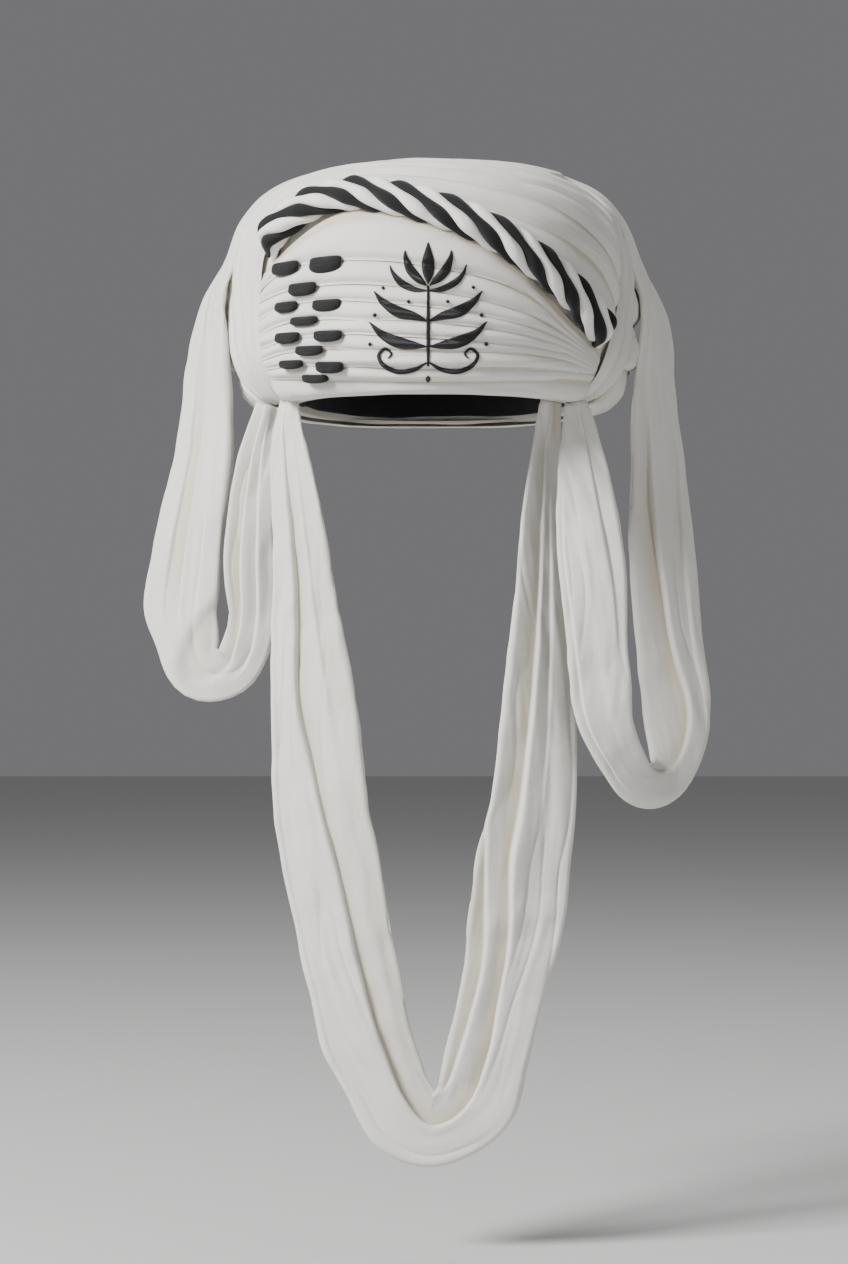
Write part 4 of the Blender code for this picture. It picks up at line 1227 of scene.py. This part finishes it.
def tie_surface(rows, creases, corners, outer_low, seed):
    """Points of a folded tie's cloth along its route, with its cloth coordinates and its painted shade in
    the creases and on its back.
    """
    look = tie_settings()
    centre, side, front, half, deep, run = tie_frames(rows)
    half = half * (1 + 0.05 * soft_noise(run / 0.06, run * 0 + 7.5, seed + 81))
    low_edge, high_edge = tie_edges(run, half, corners, outer_low, seed)
    half, fullness = half[:, None], (deep / TIE_FOLD_DEPTH)[:, None]

    wide, edge, face, lap = tie_outline()
    depth = np.minimum(look.depth * np.clip(fullness, 0.25, 1.0), 0.42 * half)
    u, v = wide * half + edge * depth, face * depth - LAP_DROP * lap
    share = u / half
    facing = smooth_step((face + 0.4) / 1.2) - 0.8 * smooth_step((-face - 0.2) / 0.8)
    raised, drawn = tie_folds(share, run, creases, seed)
    raised = raised * (look.fold * np.clip(fullness, 0.12, 1.0))
    flat_part = smooth_step((0.62 - fullness) / 0.40)
    hug = (SHOULDER_SINK + SHOULDER_HUG * np.clip(np.abs(share), 0, 1) ** 3) * flat_part * (half > WIDE_TIE)
    swell = TIE_SWELL * depth * (1 - np.clip(share, -1, 1) ** 2)
    long_run = np.broadcast_to(run[:, None], u.shape)
    grown = tie_growth(run, long_run, run_lengths_across(u, v), seed)

    v = v + (raised + swell) * facing
    u = u + drawn * half
    u = u + low_edge * smooth_step(-share / 0.9) + high_edge * smooth_step(share / 0.9)
    nudge = np.where(np.abs(face) > 0.5, np.sign(face), face)
    v = v + grown * nudge - hug
    u = u + grown * np.sign(wide) * (1 - np.abs(nudge))
    points = centre[:, None] + side[:, None] * u[..., None] + front[:, None] * v[..., None]
    # Painted shade: deeper where a crease sinks the cloth, and on the tie's back side
    painted_shade = smooth_step((-raised / PAINTED_SHADE_DEPTH) * facing + 0.10) * 0.85 + 0.5 * (face < -0.5)
    return points, long_run, run_lengths_across(u, v), np.clip(painted_shade, 0, 1)


def run_lengths_across(u, v):
    steps = np.hypot(np.diff(u, axis=1), np.diff(v, axis=1))
    return np.concatenate([np.zeros((len(u), 1)), np.cumsum(steps, axis=1)], axis=1)


def tie_piece(name, surface, first, last):
    """A stretch of a tie as its own piece, with the cloth's thickness."""
    points, along, across, painted_shade = (part[first:last + 1] for part in surface)
    thing = woven_grid(f"{name}_cloth", points, along, across, painted_shade)
    wall = thing.modifiers.new("cloth wall", "SOLIDIFY")
    wall.thickness = tie_settings().wall
    wall.offset = 0.0
    finish_piece(thing, white_cotton(), "white_cotton", name)


def make_ties():
    left = shoulder_rows(-1, TAIL_SHOULDER) + hanging_rows(LEFT_TAIL, LEFT_TAIL_DROP)
    right = shoulder_rows(1, TAIL_SHOULDER) + hanging_rows(RIGHT_TAIL, RIGHT_TAIL_DROP)
    lift_rows = [(*row[:5], -90.0) for row in shoulder_rows(-1, DRAPE_SHOULDER[1:-1])]
    over = turned_back(left) + lift_rows + right
    surface = tie_surface(over, OVER_CREASES, OVER_CORNERS, False, OVER_SEED)
    middle = surface[0].mean(axis=1)
    half_span = abs(crown_point(direction(90.0, TAIL_SHOULDER[0]))[0])
    on_top = np.where((np.abs(middle[:, 0]) < half_span) & (middle[:, 2] > CROWN_TOP * 0.7))[0]
    first, last = on_top[0], on_top[-1]
    tie_piece("left_tail", surface, 0, first)
    tie_piece("top_drape", surface, first, last)
    tie_piece("right_tail", surface, last, len(middle) - 1)
    loop = hanging_rows(FRONT_LOOP, LOOP_DROP)
    loop = tie_surface(loop, LOOP_CREASES, LOOP_CORNERS, True, LOOP_SEED)
    tie_piece("front_loop", loop, 0, len(loop[0]) - 1)


# Embroidered sprig on the pleats, in its own units from its foot: each stroke is (x, z, width) and is
# worked once on each side, or once only down the middle
SPRIG_FOOT = (-0.003, 0.0115)
SPRIG_UNIT = 0.0009
SPRIG_MIDDLE = (
    ((0, 0, 1.6), (0, 18, 2.4), (0, 36, 2.0), (0, 50, 1.4)),
    ((0, 51, 0.8), (0, 57, 6.5), (0, 64, 8.0), (0, 71, 4.5), (0, 77, 0.6)),
    ((0, -9.5, 0.6), (0, -7.5, 3.6), (0, -5.5, 0.6)),
)
SPRIG_SIDES = (
    ((1, 50, 0.8), (6, 54, 5.0), (11, 60, 6.0), (14, 67, 3.2), (14.5, 72, 0.6)),
    ((1, 47, 0.8), (9, 48, 3.6), (17, 52, 4.4), (22, 58, 2.4), (24, 63, 0.6)),
    ((1, 28, 0.8), (9, 31, 5.2), (19, 34, 7.2), (28, 40, 4.6), (34, 47, 0.6)),
    ((1, 12, 0.8), (9, 13, 5.0), (19, 15, 7.4), (29, 20, 5.0), (37, 28, 0.6)),
    ((1, 2, 1.2), (9, -2, 2.6), (19, -3, 3.0), (28, 1, 2.6), (31, 7, 2.2), (27, 11, 1.8), (23, 8, 1.4),
     (25, 5, 1.0)),
    ((32, 32, 0.4), (33.4, 32, 2.8), (34.8, 32, 0.4)),
    ((27, 49, 0.4), (28.2, 49, 2.6), (29.4, 49, 0.4)),
    ((35, 14, 0.4), (36.4, 14, 2.8), (37.8, 14, 0.4)),
    ((11, 40, 0.4), (12.2, 40, 2.4), (13.4, 40, 0.4)),
)
STROKE_STEP = 0.0005
SATIN_BED = 0.00055
STROKE_ACROSS = 11
STROKE_GIRTH = 0.006
STROKE_SINK = 0.0003
LEAST_STROKE = 0.0004
FULL_STROKE_HALF = 0.0012


def pleat_surface():
    """All the front pleats as one surface to lay the embroidery on."""
    points, faces = [], []
    for number in range(1, len(PLEAT_EDGES) + 1):
        data = bpy.data.objects[f"front_pleat_{number}_cloth"].data
        start = len(points)
        points += [vertex.co.copy() for vertex in data.vertices]
        faces += [[start + corner for corner in face.vertices] for face in data.polygons]
    return BVHTree.FromPolygons(points, faces)


def stroke_line(stroke, side):
    """A stroke's middle line and its widths, at even steps."""
    rows = np.array(stroke) * SPRIG_UNIT
    rough = smooth_run(rows, np.linspace(0, 1, 200))
    count = max(int(run_lengths(rough[:, :2])[-1] / STROKE_STEP), 8)
    line = smooth_run(rows, np.linspace(0, 1, count))
    line[:, 0] = SPRIG_FOOT[0] + side * line[:, 0]
    line[:, 1] += SPRIG_FOOT[1]
    return line


def pleat_depth(surface, x, z):
    """Where the pleats lie behind a place on the front."""
    hit = surface.ray_cast(Vector((x, -0.3, z)), Vector((0, 1, 0)))[0]
    if hit is None:
        raise RuntimeError(f"the embroidery misses the pleats at {x:.4f}, {z:.4f}")
    return hit.y


def stroke_grid(stroke, side, surface):
    """One embroidered stroke: a low rounded ridge that follows the pleats under it."""
    line = stroke_line(stroke, side)
    along = unit(np.gradient(line[:, :2], axis=0))
    beside = np.stack([-along[:, 1], along[:, 0]], axis=-1)
    share = np.linspace(-1, 1, STROKE_ACROSS)
    half = np.maximum(line[:, 2], LEAST_STROKE)[:, None] / 2
    flat = line[:, None, :2] + beside[:, None] * (half * share)[..., None]
    depth = np.array([[pleat_depth(surface, x, z) for x, z in ring] for ring in flat])
    dome = trim_settings().satin * np.sqrt(np.maximum(1 - share ** 2, 0.0))
    dome = dome * np.minimum(half / FULL_STROKE_HALF, 1.0)
    top = np.stack([flat[..., 0], depth - dome - SATIN_BED, flat[..., 1]], axis=-1)
    bottom = np.stack([flat[..., 0], depth + STROKE_SINK, flat[..., 1]], axis=-1)[:, ::-1]
    return np.concatenate([top, bottom], axis=1), run_lengths(line[:, :2])


def make_embroidery():
    surface = pleat_surface()
    strokes = [(stroke, 1) for stroke in SPRIG_MIDDLE]
    strokes += [(stroke, side) for stroke in SPRIG_SIDES for side in (-1, 1)]
    parts = []
    for number, (stroke, side) in enumerate(strokes):
        grid, run = stroke_grid(stroke, side, surface)
        along = np.broadcast_to(run[:, None], (len(run), grid.shape[1] + 1))
        across = np.broadcast_to(np.linspace(0.0, STROKE_GIRTH, grid.shape[1] + 1), along.shape)
        flat = np.zeros(grid.shape[:2])
        parts.append(woven_grid(f"stroke_{number}", grid, along, across, flat, True, True))
    finish_piece(joined(parts, "front_embroidery"), satin_thread(), "black_cloth")


def joined(parts, name):
    """Several meshes as one piece."""
    with bpy.context.temp_override(active_object=parts[0], object=parts[0], selected_objects=parts,
                                   selected_editable_objects=parts):
        bpy.ops.object.join()
    parts[0].name = name
    parts[0].data.name = name
    return parts[0]


def stitch_tree(material):
    """Geometry Nodes that lay a run of stitches along a line."""
    tree, given, result = new_group(
        "stitch_run", "GeometryNodeTree",
        (("Line", "Geometry", None), ("Stitch length", "Float", 0.0024), ("Stitch spacing", "Float", 0.0042),
         ("Thread radius", "Float", 0.00028)),
        (("Stitches", "Geometry", None),))
    line = add_node(tree, "GeometryNodeMeshToCurve", {"Mesh": given["Line"]})
    spaced = add_node(tree, "GeometryNodeResampleCurve", mode="LENGTH")
    feed(spaced.inputs["Curve"], line.outputs["Curve"])
    feed(spaced.inputs["Length"], given["Stitch spacing"])
    tangent = add_node(tree, "GeometryNodeInputTangent").outputs["Tangent"]
    turn = add_node(tree, "FunctionNodeAlignRotationToVector", {"Vector": tangent}, axis="X")
    ball = add_node(tree, "GeometryNodeMeshIcoSphere", {"Radius": 1.0, "Subdivisions": 2})
    half = maths(tree, "MULTIPLY", given["Stitch length"], 0.5)
    thread = given["Thread radius"]
    size = add_node(tree, "ShaderNodeCombineXYZ", {"X": half, "Y": thread, "Z": thread})
    placed = add_node(tree, "GeometryNodeInstanceOnPoints", {
        "Points": spaced.outputs["Curve"], "Instance": ball.outputs["Mesh"],
        "Rotation": turn.outputs["Rotation"], "Scale": size.outputs["Vector"]})
    real = add_node(tree, "GeometryNodeRealizeInstances", {"Geometry": placed.outputs["Instances"]})
    painted = add_node(tree, "GeometryNodeSetMaterial",
                       {"Geometry": real.outputs["Geometry"], "Material": material})
    feed(result["Stitches"], painted.outputs["Geometry"])
    return tree


def add_stitches(name, lines, material, slot):
    """Runs of stitches along some lines, as one plain mesh."""
    edges, start = [], 0
    for line in lines:
        edges += [(start + step, start + step + 1) for step in range(len(line) - 1)]
        start += len(line)
    data = bpy.data.meshes.new(f"{name}_line")
    data.from_pydata(np.concatenate(lines).tolist(), edges, [])
    guide = add_object(f"{name}_line", data)
    tree = stitch_tree(material)
    work = guide.modifiers.new("stitches", "NODES")
    work.node_group = tree
    sizes = {"Stitch length": trim_settings().stitch, "Stitch spacing": trim_settings().stitch_spacing}
    for socket in tree.interface.items_tree:
        if socket.in_out == "INPUT" and socket.name in sizes:
            work[socket.identifier] = sizes[socket.name]
    ready = guide.evaluated_get(bpy.context.evaluated_depsgraph_get())
    plain = bpy.data.meshes.new_from_object(ready)
    bpy.data.objects.remove(guide, do_unlink=True)
    plain.name = name
    plain.shade_smooth()
    finish_piece(add_object(name, plain), material, slot)


HEM_COLUMN = -3
HEM_END = 6
HEM_LIFT = 0.00010
LINING_STITCH_HEIGHT = 0.0045
LINING_STITCH_LIFT = 0.0001


def cloth_line(name, column, outward):
    """A line along a tie's cloth at one column of its weave, set just off the surface."""
    vertices = bpy.data.objects[name].data.vertices
    found = []
    for key in ("co", "normal"):
        values = np.zeros(len(vertices) * 3)
        vertices.foreach_get(key, values)
        found.append(values.reshape(-1, len(tie_outline()[0]), 3)[:, column])
    return found[0] + found[1] * outward


def make_stitches():
    off = tie_settings().wall / 2 + HEM_LIFT
    hems = [cloth_line(f"{tie}_cloth", HEM_COLUMN, outward)[HEM_END:-HEM_END]
            for tie in ("left_tail", "right_tail", "front_loop") for outward in (off, -off)]
    add_stitches("hem_stitches", hems, white_yarn(), "white_cotton")
    azimuth = ring_azimuths()
    height = rim_height(azimuth) + LINING_EDGE_HEIGHT + LINING_STITCH_HEIGHT
    ring = head_point(azimuth, height, -LINING_STITCH_LIFT)
    add_stitches("lining_stitches", [np.vstack([ring, ring[:1]])], black_cotton(), "black_cloth")


# Stage: each soft light is its name, its setting, its share of that power, its place, its aim and its size
CAMERA_PLACE = (-0.0053, -2.2, -0.138)
CAMERA_LENS = 104.4
CAMERA_SENSOR = 36.0
FLOOR_HEIGHT = -0.50
FLOOR_SIZE = 14.0
FLOOR_PATCH = 0.95
BACKGROUND = (0.32, 0.32, 0.33, 1.0)
BACKGROUND_STRENGTH = 0.55
SOFT_LIGHTS = (
    ("key_light", "key", 1.0, (-1.7, -1.3, 1.2), (0, 0, -0.05), 0.9),
    ("fill_light", "fill", 1.0, (1.8, -1.4, 0.4), (0, 0, -0.1), 1.6),
    ("top_light", "fill", 1.2, (0.3, 0.9, 1.8), (0, 0, 0.05), 1.0),
)


def floor_material(tint):
    found = bpy.data.materials.get("pale_floor")
    if found:
        return found
    material, tree, shader = new_material("pale_floor", Roughness=0.9)
    place = add_node(tree, "ShaderNodeTexCoord").outputs["Object"]
    noise = add_node(tree, "ShaderNodeTexNoise", {"Vector": place, "Scale": 1.5}).outputs["Fac"]
    patch = [part * FLOOR_PATCH for part in tint]
    feed(shader["Base Color"], mixed_colour(tree, noise, (*tint, 1.0), (*patch, 1.0)))
    return material


def add_soft_light(name, place, aim, width, strength):
    data = bpy.data.lights.new(name, "AREA")
    data.shape = "DISK"
    data.size = width
    data.energy = strength
    thing = add_object(name, data)
    thing.location = place
    thing.rotation_euler = (Vector(aim) - Vector(place)).to_track_quat("-Z", "Y").to_euler()


def make_floor(tint):
    half = FLOOR_SIZE / 2
    corners = [(x * half, y * half, FLOOR_HEIGHT) for x, y in ((-1, -1), (1, -1), (1, 1), (-1, 1))]
    data = bpy.data.meshes.new("floor")
    data.from_pydata(corners, [], [(0, 1, 2, 3)])
    data.materials.append(floor_material(tint))
    add_object("floor", data)


def make_stage():
    look = bpy.context.scene.turban_stage
    make_floor(look.floor)
    for name, setting, share, place, aim, width in SOFT_LIGHTS:
        add_soft_light(name, place, aim, width, getattr(look, setting) * share)
    world = bpy.context.scene.world or bpy.data.worlds.new("studio")
    bpy.context.scene.world = world
    world.use_nodes = True
    ground = world.node_tree.nodes["Background"].inputs
    ground["Color"].default_value = BACKGROUND
    ground["Strength"].default_value = BACKGROUND_STRENGTH
    data = bpy.data.cameras.new("camera")
    data.lens = CAMERA_LENS
    data.sensor_width = CAMERA_SENSOR
    camera = add_object("camera", data)
    camera.location = CAMERA_PLACE
    camera.rotation_euler = (math.radians(90), 0, 0)
    bpy.context.scene.camera = camera


class MakingStep:
    """Runs an operator's own making function."""

    def execute(self, context):
        self.make()
        return {"FINISHED"}


class CoreOperator(MakingStep, Operator):
    """Make the padded core, with its soft rim"""

    bl_idname = "turban.make_core"
    bl_label = "Wound core"
    make = staticmethod(make_core)


class LiningOperator(MakingStep, Operator):
    """Make the black lining inside the crown"""

    bl_idname = "turban.make_lining"
    bl_label = "Lining"
    make = staticmethod(make_lining)


class PleatOperator(MakingStep, Operator):
    """Make the pleats across the front"""

    bl_idname = "turban.make_front_pleats"
    bl_label = "Front pleats"
    make = staticmethod(make_front_pleats)


class SideFoldOperator(MakingStep, Operator):
    """Make the ribbed folds that arch over the front and down the sides"""

    bl_idname = "turban.make_side_folds"
    bl_label = "Side folds"
    make = staticmethod(make_side_folds)


class BackWrapOperator(MakingStep, Operator):
    """Make the wraps round the back and over the top"""

    bl_idname = "turban.make_back_wraps"
    bl_label = "Back wraps"
    make = staticmethod(make_back_wraps)


class BraidOperator(MakingStep, Operator):
    """Make the six strands of the twisted braid"""

    bl_idname = "turban.make_braid"
    bl_label = "Braid"
    make = staticmethod(make_braid)


class TabOperator(MakingStep, Operator):
    """Make the tabs of black tape"""

    bl_idname = "turban.make_tabs"
    bl_label = "Tabs"
    make = staticmethod(make_tabs)


class TieOperator(MakingStep, Operator):
    """Make the cloth over the top, its two tails and the long loop in front"""

    bl_idname = "turban.make_ties"
    bl_label = "Ties"
    make = staticmethod(make_ties)


class EmbroideryOperator(MakingStep, Operator):
    """Make the embroidered sprig on the pleats"""

    bl_idname = "turban.make_embroidery"
    bl_label = "Embroidery"
    make = staticmethod(make_embroidery)


class StitchOperator(MakingStep, Operator):
    """Make the stitches along the hems and the lining"""

    bl_idname = "turban.make_stitches"
    bl_label = "Stitches"
    make = staticmethod(make_stitches)


class StageOperator(MakingStep, Operator):
    """Make the floor, the lights and the camera"""

    bl_idname = "turban.make_stage"
    bl_label = "Stage"
    make = staticmethod(make_stage)


SETTINGS = (
    ("turban_folds", FoldSettings), ("turban_ties", TieSettings), ("turban_trim", TrimSettings),
    ("turban_colours", ColourSettings), ("turban_stage", StageSettings),
)
OPERATORS = (
    CoreOperator, LiningOperator, PleatOperator, SideFoldOperator, BackWrapOperator, BraidOperator,
    TabOperator, TieOperator, EmbroideryOperator, StitchOperator, StageOperator,
)


class TurbanPanel(Panel):
    """Lists the turban's sizes, colours and pieces"""

    bl_idname = "VIEW3D_PT_turban"
    bl_label = "Tied turban"
    bl_space_type = "VIEW_3D"
    bl_region_type = "UI"
    bl_category = "Turban"

    def draw(self, context):
        for name, kind in SETTINGS:
            box = self.layout.box()
            box.label(text=kind.__doc__)
            for label in kind.__annotations__:
                box.prop(getattr(context.scene, name), label)
        for kind in OPERATORS:
            self.layout.operator(kind.bl_idname)


def register():
    for name, kind in SETTINGS:
        bpy.utils.register_class(kind)
        setattr(bpy.types.Scene, name, PointerProperty(type=kind))
    for kind in (*OPERATORS, TurbanPanel):
        bpy.utils.register_class(kind)


def unregister():
    for kind in (TurbanPanel, *reversed(OPERATORS)):
        bpy.utils.unregister_class(kind)
    for name, kind in reversed(SETTINGS):
        delattr(bpy.types.Scene, name)
        bpy.utils.unregister_class(kind)


def write_sizes():
    """Brings the view layer up to date."""
    bpy.context.view_layer.update()


def main():
    register()
    for kind in OPERATORS:
        group, name = kind.bl_idname.split(".")
        getattr(getattr(bpy.ops, group), name)()
    write_sizes()


if __name__ == "__main__":
    main()
